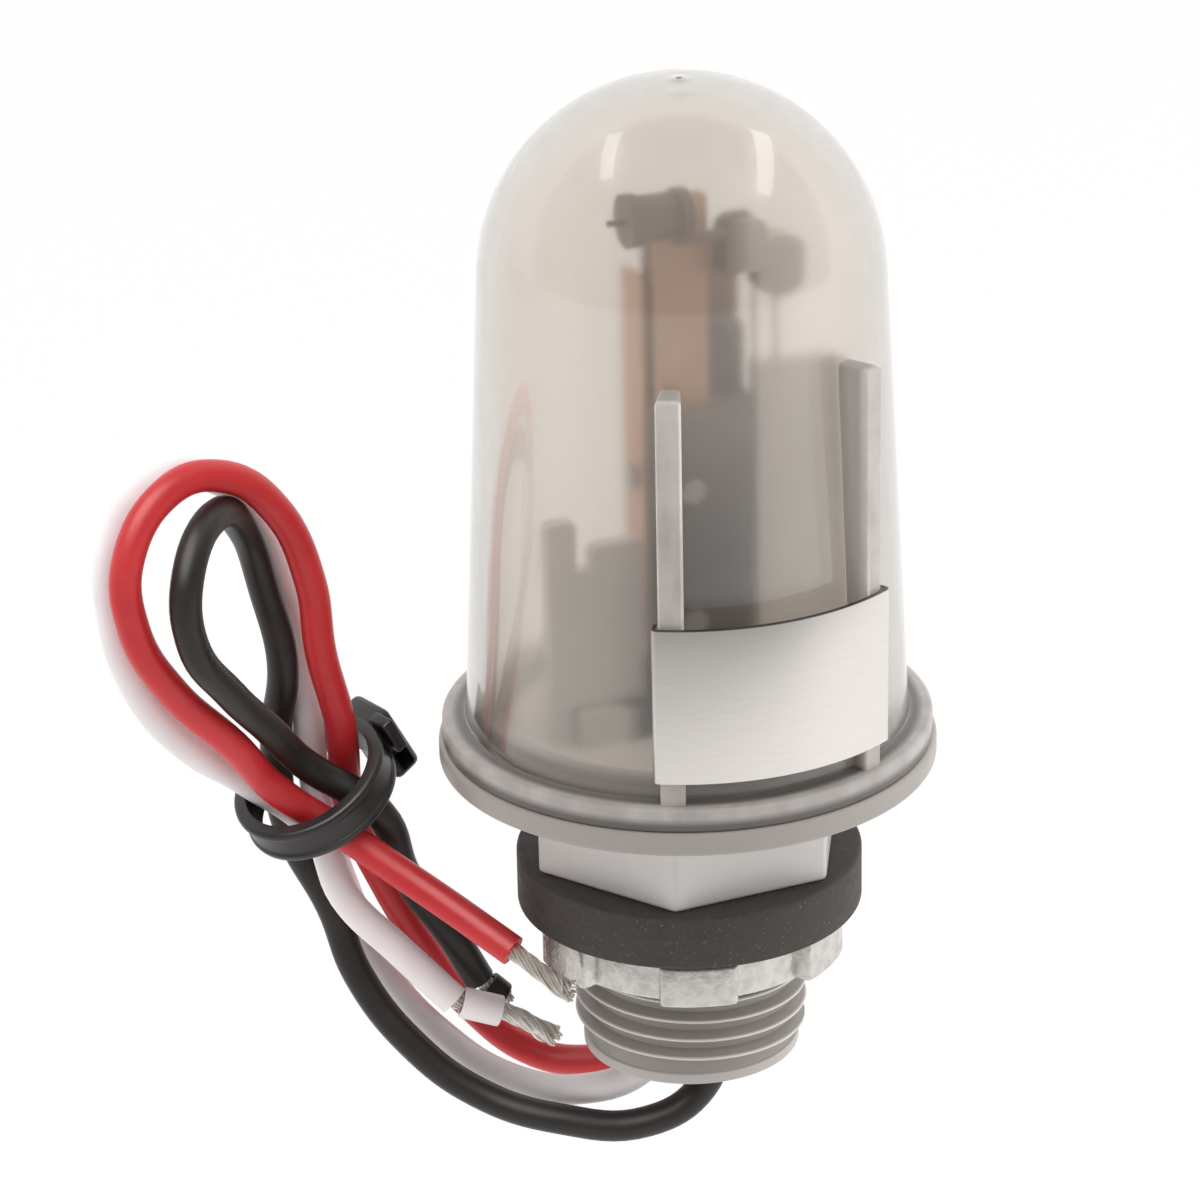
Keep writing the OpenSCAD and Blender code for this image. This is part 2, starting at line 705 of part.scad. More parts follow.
module heater_blade() {
    color(copper_colour) difference() {
        upright_sheet(heater_blade_x - heater_blade_w / 2, front_y - blade_t, blade_z,
            heater_blade_w, blade_t, heater_blade_l, blade_corner);
        rivet_shanks(rivet_d + 2 * hole_gap);
    }
}

module ambient_blade() {
    color(copper_colour) difference() {
        translate([post_left, 0, 0]) rotate(-90)
            upright_sheet(-ambient_blade_w / 2, -blade_t, blade_z,
                ambient_blade_w, blade_t, ambient_blade_l, blade_corner);
        rivet_shanks(rivet_d + 2 * hole_gap);
    }
}

module blade_rivets() {
    color(steel_colour) {
        rivet_shanks(rivet_d);
        for (k = [0, 1]) {
            z = rivet_z + k * rivet_spacing;
            pin_y([heater_blade_x, clamp_y - rivet_head_h, z], rivet_head_d, rivet_head_h);
            pin_x([post_left - blade_t - rivet_head_h, 0, z], rivet_head_d, rivet_head_h);
        }
    }
}

module contact_bracket() {
    color(brass_colour) difference() {
        union() {
            upright_sheet(bracket_x, bracket_y, post_top, bracket_w, bracket_t, bracket_h, blade_corner);
            upright_sheet(bracket_x, bracket_y, post_top + shoulder_h + side_gap,
                post_right - bracket_x, bracket_t, wing_h, blade_corner);
            translate([bracket_x, bracket_y, post_top]) cube([bracket_w, bracket_foot, bracket_t]);
        }
        pin_y([heater_blade_x, bracket_y - eps, setting_z], setting_d + 2 * hole_gap, bracket_t + 2 * eps);
    }
}

module fixed_contact() {
    l = contact_gap * fixed_share;
    color(tinned_colour) pin_y([heater_blade_x, bracket_y - l, contact_z], contact_d, l);
}

module moving_contact() {
    l = contact_gap * (1 - fixed_share);
    color(tinned_colour) pin_y([heater_blade_x, front_y, contact_z], contact_d, l);
}

module setting_screw() {
    head_y = bracket_y + bracket_t + setting_head_h;
    color(steel_colour) {
        pin_y([heater_blade_x, front_y, setting_z], setting_d, head_y - front_y);
        pin_y([heater_blade_x, head_y, setting_z], setting_head_d, setting_head_h);
    }
}

module heater_resistor() {
    body_d = heater_d - fine_wire_d;
    inner_cap = heater_x + heater_l - heater_cap;
    color(post_colour) {
        pin_x([heater_x, heater_y, heater_z], body_d, heater_l);
        for (x = [heater_x, inner_cap])
            pin_x([x, heater_y, heater_z], heater_d, heater_cap);
        pin_x([heater_x - stub_l, heater_y, heater_z], fine_wire_d, stub_l + eps);
        pin_x([inner_cap, heater_y, sleeve_z], sleeve_d, holder_x - inner_cap);
    }
}

module photocell() {
    color(post_colour) {
        intersection() {
            pin_y([cell_x, cell_back - cell_t, cell_z], cell_d, cell_t);
            translate([cell_x - cell_flats / 2, cell_back - cell_t, cell_z - cell_d])
                cube([cell_flats, cell_t, 2 * cell_d]);
        }
        upright_sheet(holder_x, holder_y, sleeve_z + sleeve_d - holder_h, holder_w + eps,
            cell_back - holder_y, holder_h, holder_corner);
    }
}

module cell_wires() {
    top = panel_z + panel_h;
    color(tinned_colour) for (side = [-1, 1]) {
        x = cell_x + side * cell_wire_spacing / 2;
        pin_y([x, cell_back, cell_z], fine_wire_d, cell_wire_y - cell_back);
        translate([x, cell_wire_y, cell_z]) sphere(d = fine_wire_d);
        translate([x, cell_wire_y, top]) cylinder(d = fine_wire_d, h = cell_z - top);
    }
}

module lead_terminals() {
    color(brass_colour) for (route = [red_route, white_route, black_route])
        translate(route[0]) cylinder(d = lead_d, h = panel_z - terminal_z);
}

module red_lead() {
    color(red_colour) tube(red_route, lead_d);
}

module white_lead() {
    color(white_colour) tube(white_route, lead_d);
}

module black_lead() {
    color(black_colour) tube(black_route, lead_d);
}

module red_strands() {
    color(tinned_colour) tube(red_strand_route, strand_d, end_direction(red_route));
}

module white_strands() {
    color(tinned_colour) tube(white_strand_route, strand_d, end_direction(white_route));
}

module black_strands() {
    color(tinned_colour) tube(black_strand_route, strand_d, end_direction(black_route));
}

// Sleeve of slid insulation round the middle of a strand route's first stretch
module slug(route, l) {
    stretch = route[1] - route[0];
    middle = (norm(stretch) - l) / 2;
    aim(route[0], stretch) translate([0, 0, middle]) difference() {
        cylinder(d = lead_d, h = l);
        translate([0, 0, -eps]) cylinder(d = strand_d + 2 * slug_gap, h = l + 2 * eps);
    }
}

module white_slug() {
    color(white_colour) slug(white_strand_route, white_slug_l);
}

module black_slug() {
    color(black_colour) slug(black_strand_route, black_slug_l);
}

module wire_tie() {
    outer_r = tie_d / 2 + tie_t;
    head_x = -tie_d / 2 - tie_head_out;
    head_end = tie_head_l / 2 - tie_head_back;
    color(black_colour) aim(tie_centre, tie_axis) difference() {
        union() {
            translate([0, 0, -tie_w / 2]) cylinder(r = outer_r, h = tie_w);
            translate([head_x, head_end - tie_head_l, -tie_head_w / 2 - tie_head_drop])
                cube([tie_head_out, tie_head_l, tie_head_w]);
            translate([head_x + tie_head_gap, head_end - eps, -tie_w / 2])
                cube([tie_t, tail_l + eps, tie_w]);
        }
        translate([0, 0, -2 * tie_head_w]) cylinder(d = tie_d, h = 4 * tie_head_w);
    }
}

base();
dome_cover();
light_shield();
gasket();
locknut();
inner_frame();
blade_post();
post_screws();
heater_blade();
ambient_blade();
blade_rivets();
contact_bracket();
fixed_contact();
moving_contact();
setting_screw();
heater_resistor();
photocell();
cell_wires();
lead_terminals();
red_lead();
white_lead();
black_lead();
red_strands();
white_strands();
black_strands();
white_slug();
black_slug();
wire_tie();
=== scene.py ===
# %% [markdown]
# # A stem-mount photocell switch
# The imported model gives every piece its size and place. This lesson dresses it: the leads first, then the
# mouldings, the metal, the rubber and what shows through the smoky cover. The switch's lengths are written in
# millimetres and turned into metres by MM, because the frame is in metres. The stage is in metres.

import json
import math

import bmesh
import bpy
from mathutils import Matrix, Vector

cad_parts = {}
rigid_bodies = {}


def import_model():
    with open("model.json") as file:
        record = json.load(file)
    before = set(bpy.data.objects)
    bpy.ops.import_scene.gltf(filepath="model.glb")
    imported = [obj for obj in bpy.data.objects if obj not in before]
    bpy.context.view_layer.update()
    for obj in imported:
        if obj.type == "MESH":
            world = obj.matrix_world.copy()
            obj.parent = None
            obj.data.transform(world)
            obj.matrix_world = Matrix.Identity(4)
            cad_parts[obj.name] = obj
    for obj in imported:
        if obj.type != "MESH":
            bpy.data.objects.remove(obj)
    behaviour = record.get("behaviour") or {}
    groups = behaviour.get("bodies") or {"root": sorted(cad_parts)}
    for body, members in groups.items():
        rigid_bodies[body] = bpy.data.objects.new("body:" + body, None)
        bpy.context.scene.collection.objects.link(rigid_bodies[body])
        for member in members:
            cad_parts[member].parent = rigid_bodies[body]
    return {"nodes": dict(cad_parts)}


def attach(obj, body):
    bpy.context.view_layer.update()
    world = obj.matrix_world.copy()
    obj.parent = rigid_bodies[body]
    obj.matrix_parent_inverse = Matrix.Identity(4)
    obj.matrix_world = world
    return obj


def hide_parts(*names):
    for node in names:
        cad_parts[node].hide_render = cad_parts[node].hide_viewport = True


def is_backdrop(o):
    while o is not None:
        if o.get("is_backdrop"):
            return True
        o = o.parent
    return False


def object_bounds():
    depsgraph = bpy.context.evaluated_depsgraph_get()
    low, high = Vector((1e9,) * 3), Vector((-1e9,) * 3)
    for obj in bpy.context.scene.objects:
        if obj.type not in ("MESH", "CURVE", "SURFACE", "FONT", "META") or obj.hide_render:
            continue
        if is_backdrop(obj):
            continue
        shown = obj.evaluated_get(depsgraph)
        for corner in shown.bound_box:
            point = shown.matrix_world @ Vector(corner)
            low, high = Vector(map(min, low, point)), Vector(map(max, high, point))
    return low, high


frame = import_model()
cad_low, cad_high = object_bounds()
nodes = frame["nodes"]
MM = 0.001

# %% [markdown]
# ## Camera
# The switch was photographed from its front left and from above, with a long lens. The camera could be
# placed by eye, but the ellipses of the flanges and the stem give its height and its distance, so it is
# written as angles, a distance and a point to aim at. A slight roll matches the lean of the switch in the
# picture.

# %% Camera
PHOTO_SIDE = 1200
FOCAL_PX = 5127
SENSOR = 36.0
AZIMUTH = math.radians(-22)
ELEVATION = math.radians(23.1)
ROLL = math.radians(1.16)
DISTANCE = 450 * MM
AIM = Vector((-7.4, 7.0, 39.4)) * MM

scene = bpy.context.scene
camera = bpy.data.objects.new("camera", bpy.data.cameras.new("camera"))
scene.collection.objects.link(camera)
scene.camera = camera
camera.data.sensor_width = SENSOR
camera.data.lens = FOCAL_PX / PHOTO_SIDE * SENSOR
forward = Vector((0, math.cos(ELEVATION), -math.sin(ELEVATION)))
turn = Matrix.Rotation(AZIMUTH, 4, "Z")
place = Matrix.Translation(AIM - forward * DISTANCE)
tilt = Matrix.Rotation(math.pi / 2 - ELEVATION, 4, "X")
camera.matrix_world = turn @ place @ tilt @ Matrix.Rotation(-ROLL, 4, "Z")
camera.data.clip_start = 10 * MM
print("camera: lens", round(camera.data.lens, 1), "mm at", [round(v, 3) for v in camera.location])

# %% [markdown]
# ## Shader helpers
# The stage and every finish are node trees. Each could be wired by hand, node by node, but the same few steps
# return all the time: an empty tree, a node with some of its sockets set, the kind of ray that asks, and a
# level that changes along one direction. They are written once here.

# %% Shader helpers
def shader_tree(name, world=False):
    """A new material or world with an empty node tree and its output node."""
    owner = bpy.data.worlds.new(name) if world else bpy.data.materials.new(name)
    owner.use_nodes = True
    tree = owner.node_tree
    tree.nodes.clear()
    output = tree.nodes.new("ShaderNodeOutputWorld" if world else "ShaderNodeOutputMaterial")
    return owner, tree, output


def node(tree, kind, **values):
    """Adds a node. Values name its input sockets, or its own settings where there is no such socket."""
    made = tree.nodes.new(kind)
    sockets = {socket.name.lower().replace(" ", "_"): socket for socket in made.inputs if socket.enabled}
    for key, value in values.items():
        if key in sockets:
            sockets[key].default_value = value
        else:
            setattr(made, key, value)
    return made


def seen_directly(tree):
    """One where a ray comes from the camera, from a mirror or through the cover, and nought elsewhere."""
    path = node(tree, "ShaderNodeLightPath")
    total = path.outputs["Is Camera Ray"]
    for ray in ("Is Glossy Ray", "Is Transmission Ray"):
        larger = node(tree, "ShaderNodeMath", operation="MAXIMUM")
        tree.links.new(total, larger.inputs[0])
        tree.links.new(path.outputs[ray], larger.inputs[1])
        total = larger.outputs[0]
    return total


def change_along(tree, place, way, near, far, low, high):
    """A level that changes along a direction (right, away, up), between two distances or two cosines."""
    depth = node(tree, "ShaderNodeVectorMath", operation="DOT_PRODUCT")
    depth.inputs[1].default_value = turn.to_3x3() @ Vector(way).normalized()
    level = node(tree, "ShaderNodeMapRange", from_min=near, from_max=far, to_min=low, to_max=high)
    coordinates = node(tree, "ShaderNodeTexCoord")
    tree.links.new(coordinates.outputs[place], depth.inputs[0])
    tree.links.new(depth.outputs["Value"], level.inputs["Value"])
    return level.outputs["Result"]


# %% [markdown]
# ## Floor and room
# The switch was shown on pure white. A white table could be lit until it is pure white, but that light would
# wash the switch out. So floor and room only look white: they glow towards rays from the camera, from mirrors
# and through the cover, and to all other rays the floor is plain paper, which keeps the soft shadow. The room
# is brighter behind the switch than on the camera's side, as with a white sweep, and its ceiling is darker.
# That is what gives the shield its gradient and the dome its soft edge.

# %% Floor
FLOOR_DROP = 60 * MM
FLOOR_SIDE = 6.0
FLOOR_WHITE = (0.86, 0.86, 0.86, 1)
FRONT_PALE = 0.5
GLOW_SHARE = 0.9
PALE_FROM, PALE_TO = -0.3, 0.02

floor_paint, tree, output = shader_tree("studio_floor")
paper = node(tree, "ShaderNodeBsdfPrincipled", base_color=FLOOR_WHITE, roughness=0.9)
glow = node(tree, "ShaderNodeEmission", color=(1, 1, 1, 1))
share = node(tree, "ShaderNodeMath", operation="MULTIPLY")
share.inputs[1].default_value = GLOW_SHARE
mix = node(tree, "ShaderNodeMixShader")
level = change_along(tree, "Object", (0.5, 0.87, 0), PALE_FROM, PALE_TO, FRONT_PALE, 1.0)
tree.links.new(level, glow.inputs["Strength"])
tree.links.new(seen_directly(tree), share.inputs[0])
tree.links.new(share.outputs[0], mix.inputs["Fac"])
tree.links.new(paper.outputs["BSDF"], mix.inputs[1])
tree.links.new(glow.outputs["Emission"], mix.inputs[2])
tree.links.new(mix.outputs["Shader"], output.inputs["Surface"])

bpy.ops.mesh.primitive_plane_add(size=FLOOR_SIDE, location=(0, 0, cad_low.z - FLOOR_DROP))
floor = bpy.context.object
floor.name = "floor"
floor.data.materials.append(floor_paint)
floor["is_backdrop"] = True
print("floor at", round(floor.location.z, 3), "m")

# %% Room
ROOM_TINT = (1, 0.95, 0.915, 1)
FRONT_LEVEL, BACK_LEVEL = 0.3, 1.0
CEILING_PALE = 0.4

world, tree, output = shader_tree("studio", world=True)
scene.world = world
room = node(tree, "ShaderNodeBackground", color=ROOM_TINT)
white = node(tree, "ShaderNodeBackground", color=(1, 1, 1, 1))
mix = node(tree, "ShaderNodeMixShader")
level = change_along(tree, "Generated", (0, 0.8, 0.6), -0.6, 0.2, FRONT_LEVEL, BACK_LEVEL)
tree.links.new(level, room.inputs["Strength"])
sweep = change_along(tree, "Generated", (0.3, 0.95, 0), -0.4, 0.4, FRONT_PALE, 1.0)
ceiling = change_along(tree, "Generated", (0, 1, -0.55), -0.02, 0.02, CEILING_PALE, 1.0)
both = node(tree, "ShaderNodeMath", operation="MULTIPLY")
tree.links.new(sweep, both.inputs[0])
tree.links.new(ceiling, both.inputs[1])
tree.links.new(both.outputs[0], white.inputs["Strength"])
tree.links.new(seen_directly(tree), mix.inputs["Fac"])
tree.links.new(room.outputs["Background"], mix.inputs[1])
tree.links.new(white.outputs["Background"], mix.inputs[2])
tree.links.new(mix.outputs["Shader"], output.inputs["Surface"])
print("room from", FRONT_LEVEL, "to", BACK_LEVEL)


# %% [markdown]
# ## Soft boxes
# Two strips make the two upright highlights in the dome. The large boxes at both sides and the one above the
# camera give the soft light. Seen in the dome they would be white squares, so they are hidden from mirrors
# and from what is seen through the cover. The last box does the opposite: it lights nothing, and only puts a
# long sheen on the glossy leads and the tie, which a light-linking collection names.

# %% Soft boxes
LAMP_AIM = Vector((0, 0, 0.045))


def soft_box(name, place, width, height, radiance, mirrored=True):
    """A lamp in metres at a place (right, away, up), aimed at the switch; glossy pieces may mirror it."""
    data = bpy.data.lights.new(name, "AREA")
    data.shape = "RECTANGLE"
    data.size = width
    data.size_y = height
    data.energy = radiance * math.pi * width * height
    lamp = bpy.data.objects.new(name, data)
    scene.collection.objects.link(lamp)
    lamp.location = turn @ Vector(place)
    lamp.rotation_euler = (LAMP_AIM - lamp.location).to_track_quat("-Z", "Y").to_euler()
    lamp.visible_glossy = mirrored
    lamp.visible_transmission = mirrored
    return lamp


soft_box("left_strip", (-0.353, 0.132, 0.668), width=0.36, height=0.08, radiance=1.9)
soft_box("right_strip", (0.426, 0.109, 0.621), width=0.5, height=0.1, radiance=1.9)
soft_box("left_side", (-1.0, 0.1, 0.1), width=1.1, height=0.8, radiance=1.5, mirrored=False)
soft_box("right_side", (1.0, 0.1, 0.1), width=1.1, height=0.8, radiance=2.4, mirrored=False)
soft_box("top_fill", (0.1, -0.3, 0.85), width=0.6, height=0.6, radiance=1.6, mirrored=False)
lead_gloss = soft_box("lead_gloss", (-0.25, -0.35, 0.7), width=0.8, height=0.8, radiance=5.0)
lead_gloss.visible_diffuse = False
glossy_leads = bpy.data.collections.new("glossy_leads")
lead_gloss.light_linking.receiver_collection = glossy_leads
scene.view_settings.view_transform = "Standard"
print("soft boxes:", [lamp.name for lamp in bpy.data.lights])

# %% [markdown]
# ## Outlines
# Most pieces here are turned, bent or moulded, so they start as a flat outline. A bevel could round its edges
# afterwards, but here the corners carry a radius, so one short list of points gives a section with true
# rounds.

# %% Outline helpers
def rounded(corners, steps=4):
    """Replaces each (x, y, radius) corner of an open outline by an arc; a corner without radius stays."""
    points = []
    for i, corner in enumerate(corners):
        here = Vector(corner[:2])
        radius = corner[2] if len(corner) > 2 else 0
        if not radius:
            points.append(tuple(here))
            continue
        before = (Vector(corners[i - 1][:2]) - here).normalized()
        after = (Vector(corners[i + 1][:2]) - here).normalized()
        half = before.angle(after) / 2
        centre = here + (before + after).normalized() * radius / math.sin(half)
        first = here + before * radius / math.tan(half) - centre
        last = here + after * radius / math.tan(half) - centre
        sweep = first.angle_signed(last)
        for k in range(steps + 1):
            points.append(tuple(centre + Matrix.Rotation(-sweep * k / steps, 2) @ first))
    return points


def arc(centre, radius, start, end, steps):
    """Points on an arc about centre, from one angle to another, in degrees."""
    angles = [math.radians(start + (end - start) * k / steps) for k in range(steps + 1)]
    return [(centre[0] + radius * math.cos(a), centre[1] + radius * math.sin(a)) for a in angles]


# %% [markdown]
# ## Solids from outlines
# An outline is spun about the stem's axis for a turned piece, and pushed up for a prism. The Screw and
# Solidify modifiers could do both, but a bmesh gives closed solids at once, with one point where a turned
# piece meets the axis.

# %% Solid helpers
AXIS = 1e-6
SHARP = math.radians(35)


def add_mesh(name, bm):
    """Turns a bmesh in millimetres into an object in metres, smooth but for its sharp edges."""
    bmesh.ops.remove_doubles(bm, verts=bm.verts, dist=1e-4)
    bmesh.ops.dissolve_degenerate(bm, edges=bm.edges, dist=1e-5)
    bmesh.ops.recalc_face_normals(bm, faces=bm.faces)
    bmesh.ops.scale(bm, vec=(MM, MM, MM), verts=bm.verts)
    mesh = bpy.data.meshes.new(name)
    bm.to_mesh(mesh)
    bm.free()
    mesh.shade_smooth()
    mesh.set_sharp_from_angle(angle=SHARP)
    made = bpy.data.objects.new(name, mesh)
    scene.collection.objects.link(made)
    return made


def revolve(name, outline, steps, ring=False):
    """Spins (radius, height) points about Z. A ring's outline closes on itself; others end on the axis."""
    bm = bmesh.new()
    circles = []
    for r, z in outline:
        if r < AXIS:
            circles.append([bm.verts.new((0, 0, z))] * steps)
            continue
        angles = [2 * math.pi * k / steps for k in range(steps)]
        circles.append([bm.verts.new((r * math.cos(a), r * math.sin(a), z)) for a in angles])
    pairs = list(zip(circles, circles[1:]))
    if ring:
        pairs.append((circles[-1], circles[0]))
    for low, high in pairs:
        for k in range(steps):
            corners = list(dict.fromkeys((low[k - 1], low[k], high[k], high[k - 1])))
            if len(corners) > 2:
                bm.faces.new(corners)
    return add_mesh(name, bm)


def prism(name, outline, low, high):
    """Extrudes a flat (x, y) outline from one height to another."""
    bm = bmesh.new()
    bottom = [bm.verts.new((x, y, low)) for x, y in outline]
    top = [bm.verts.new((x, y, high)) for x, y in outline]
    bm.faces.new(bottom)
    bm.faces.new(top)
    for k in range(len(outline)):
        bm.faces.new((bottom[k - 1], bottom[k], top[k], top[k - 1]))
    return add_mesh(name, bm)


# %% [markdown]
# ## Bevels and joins
# Moulded edges are never quite sharp, and a moulding is one body. Closed meshes are bevelled by the angle of
# their edges, joined and cut with the exact Boolean, and kept as plain meshes with no modifier left on them.

# %% Bevel and Boolean helpers
def evaluated_mesh(piece):
    """A plain mesh of a piece as its modifiers leave it, smooth but for its sharp edges."""
    graph = bpy.context.evaluated_depsgraph_get()
    mesh = bpy.data.meshes.new_from_object(piece.evaluated_get(graph))
    mesh.shade_smooth()
    mesh.set_sharp_from_angle(angle=SHARP)
    return mesh


def bake(piece):
    """Replaces a piece's mesh by its evaluated one and removes its modifiers."""
    mesh = evaluated_mesh(piece)
    piece.modifiers.clear()
    piece.data = mesh
    return piece


def bevel(piece, width, segments=3, angle=30):
    """Rounds a piece's sharp edges; the width is in millimetres."""
    edge = piece.modifiers.new("edge", "BEVEL")
    edge.width = width * MM
    edge.segments = segments
    edge.limit_method = "ANGLE"
    edge.angle_limit = math.radians(angle)
    return bake(piece)


def combine(piece, other, operation):
    """Joins another closed piece to this one, or cuts it out, and removes the other."""
    join = piece.modifiers.new("combine", "BOOLEAN")
    join.operation = operation
    join.solver = "EXACT"
    join.object = other
    bake(piece)
    bpy.data.objects.remove(other)


# %% A helper that dresses a finished piece
def dress(piece, paint, body, *stands_for):
    """Gives a piece its only material, puts it on a body and lets it stand for CAD nodes."""
    piece.data.materials.clear()
    piece.data.materials.append(paint)
    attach(piece, body)
    if stands_for:
        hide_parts(*stands_for)
    if piece.type == "MESH":
        print(piece.name, "-", len(piece.data.polygons), "faces")
    return piece


# %% [markdown]
# ## Shared surface effects
# Moulded plastic, rubber and cast metal all have a fine grain and an uneven tone. The noise could be wired
# into each material, but then a change would have to be made many times. So each effect is one node group
# with its own inputs, and every material uses it at its own scale.

# %% A group for surface grain
def group_tree(name, inputs, outputs):
    """A shader node group with float inputs (a vector first) and named outputs."""
    tree = bpy.data.node_groups.new(name, "ShaderNodeTree")
    tree.interface.new_socket(name="Vector", in_out="INPUT", socket_type="NodeSocketVector")
    for label, value in inputs.items():
        kind = "NodeSocketColor" if isinstance(value, tuple) else "NodeSocketFloat"
        socket = tree.interface.new_socket(name=label, in_out="INPUT", socket_type=kind)
        socket.default_value = value
    for label, kind in outputs.items():
        tree.interface.new_socket(name=label, in_out="OUTPUT", socket_type=kind)
    return tree, tree.nodes.new("NodeGroupInput"), tree.nodes.new("NodeGroupOutput")


grain_group, source, result = group_tree(
    "surface_grain", {"Scale": 400.0, "Detail": 4.0}, {"Height": "NodeSocketFloat"}
)
noise = node(grain_group, "ShaderNodeTexNoise", roughness=0.6)
for label in ("Vector", "Scale", "Detail"):
    grain_group.links.new(source.outputs[label], noise.inputs[label])
grain_group.links.new(noise.outputs["Fac"], result.inputs["Height"])

# %% A group for uneven tone
tone_group, source, result = group_tree(
    "uneven_tone",
    {"Scale": 60.0, "From": 0.4, "To": 0.6, "Dark": (0.2, 0.2, 0.2, 1), "Light": (0.3, 0.3, 0.3, 1)},
    {"Color": "NodeSocketColor", "Mask": "NodeSocketFloat"},
)
noise = node(tone_group, "ShaderNodeTexNoise", detail=5.0, roughness=0.55)
spread = node(tone_group, "ShaderNodeMapRange")
blend = node(tone_group, "ShaderNodeMix", data_type="RGBA")
tone_group.links.new(source.outputs["Vector"], noise.inputs["Vector"])
tone_group.links.new(source.outputs["Scale"], noise.inputs["Scale"])
tone_group.links.new(noise.outputs["Fac"], spread.inputs["Value"])
tone_group.links.new(source.outputs["From"], spread.inputs["From Min"])
tone_group.links.new(source.outputs["To"], spread.inputs["From Max"])
tone_group.links.new(spread.outputs["Result"], blend.inputs["Factor"])
tone_group.links.new(source.outputs["Dark"], blend.inputs["A"])
tone_group.links.new(source.outputs["Light"], blend.inputs["B"])
tone_group.links.new(blend.outputs["Result"], result.inputs["Color"])
tone_group.links.new(spread.outputs["Result"], result.inputs["Mask"])

# %% A group that masks by radius and by height
mask_group, source, result = group_tree(
    "place_mask", {"From": 0.0, "To": 1.0}, {"By Radius": "NodeSocketFloat", "By Height": "NodeSocketFloat"}
)
flat = node(mask_group, "ShaderNodeVectorMath", operation="MULTIPLY")
flat.inputs[1].default_value = (1, 1, 0)
radius = node(mask_group, "ShaderNodeVectorMath", operation="LENGTH")
parts = node(mask_group, "ShaderNodeSeparateXYZ")
mask_group.links.new(source.outputs["Vector"], flat.inputs[0])
mask_group.links.new(flat.outputs["Vector"], radius.inputs[0])
mask_group.links.new(source.outputs["Vector"], parts.inputs["Vector"])
for label, measured in (("By Radius", radius.outputs["Value"]), ("By Height", parts.outputs["Z"])):
    spread = node(mask_group, "ShaderNodeMapRange")
    mask_group.links.new(measured, spread.inputs["Value"])
    mask_group.links.new(source.outputs["From"], spread.inputs["From Min"])
    mask_group.links.new(source.outputs["To"], spread.inputs["From Max"])
    mask_group.links.new(spread.outputs["Result"], result.inputs[label])
print("node groups:", grain_group.name, tone_group.name, mask_group.name)


# %% [markdown]
# ## Painting with the groups
# Every finish starts as one Principled shader. The groups are then placed in it: a tone for its colour, a
# mask for its roughness, a grain for its bump, and a mask by radius or by height where one moulding changes
# colour, as the stem's thread does. Image textures could do this too, but these need no unwrapping.

# %% Helpers for tone and roughness
def paint(name, **values):
    """A material with one Principled shader. Values are constants on its sockets."""
    owner, tree, output = shader_tree(name)
    shader = node(tree, "ShaderNodeBsdfPrincipled", **values)
    tree.links.new(shader.outputs["BSDF"], output.inputs["Surface"])
    return owner, tree, shader


def place_group(tree, group, stretch=(1, 1, 1), **values):
    """Adds a group that reads Object coordinates, stretched along each axis."""
    coordinates = node(tree, "ShaderNodeTexCoord")
    mapping = node(tree, "ShaderNodeMapping", scale=stretch)
    used = node(tree, "ShaderNodeGroup", node_tree=group)
    for key, value in values.items():
        used.inputs[key.title()].default_value = value
    tree.links.new(coordinates.outputs["Object"], mapping.inputs["Vector"])
    tree.links.new(mapping.outputs["Vector"], used.inputs["Vector"])
    return used


def add_tone(tree, shader, dark, light, scale, low=0.35, high=0.65, stretch=(1, 1, 1)):
    """Lets the base colour wander between two tones."""
    tone = place_group(tree, tone_group, stretch, scale=scale, dark=(*dark, 1), light=(*light, 1))
    tone.inputs["From"].default_value = low
    tone.inputs["To"].default_value = high
    tree.links.new(tone.outputs["Color"], shader.inputs["Base Color"])
    return tone


def add_roughness(tree, shader, mask, low, high):
    """Lets the roughness follow a mask."""
    spread = node(tree, "ShaderNodeMapRange")
    spread.inputs["To Min"].default_value = low
    spread.inputs["To Max"].default_value = high
    tree.links.new(mask, spread.inputs["Value"])
    tree.links.new(spread.outputs["Result"], shader.inputs["Roughness"])


# %% Helpers for masks and grain
def place_mask(tree, low, high, way):
    """A mask that rises from nought to one between two radii or two heights, in millimetres."""
    used = place_group(tree, mask_group)
    used.inputs["From"].default_value = low * MM
    used.inputs["To"].default_value = high * MM
    return used.outputs["By " + way]


def recolour(tree, shader, mask, colour):
    """Puts another colour where a mask is nought, over the base colour that is there."""
    blend = node(tree, "ShaderNodeMix", data_type="RGBA")
    first, second = (socket for socket in blend.inputs if socket.type == "RGBA")
    first.default_value = (*colour, 1)
    tree.links.new(shader.inputs["Base Color"].links[0].from_socket, second)
    tree.links.new(mask, blend.inputs["Factor"])
    mixed = next(socket for socket in blend.outputs if socket.type == "RGBA")
    tree.links.new(mixed, shader.inputs["Base Color"])


def add_grain(tree, shader, scale, strength, distance=0.0001, stretch=(1, 1, 1), detail=4.0):
    """Roughens the surface with a fine bump; the distance is in metres."""
    grain = place_group(tree, grain_group, stretch, scale=scale, detail=detail)
    bump = node(tree, "ShaderNodeBump", strength=strength, distance=distance)
    tree.links.new(grain.outputs["Height"], bump.inputs["Height"])
    tree.links.new(bump.outputs["Normal"], shader.inputs["Normal"])


# %% [markdown]
# ## Leads
# Three stranded leads leave the stem's mouth, run up the left side, turn over in a loop and come back through
# a tie to their bared ends. Their insulation is extruded vinyl: smooth, a little waxy, and never quite even.
# Three materials could be made one by one, but only the colour differs, so one function makes them all.

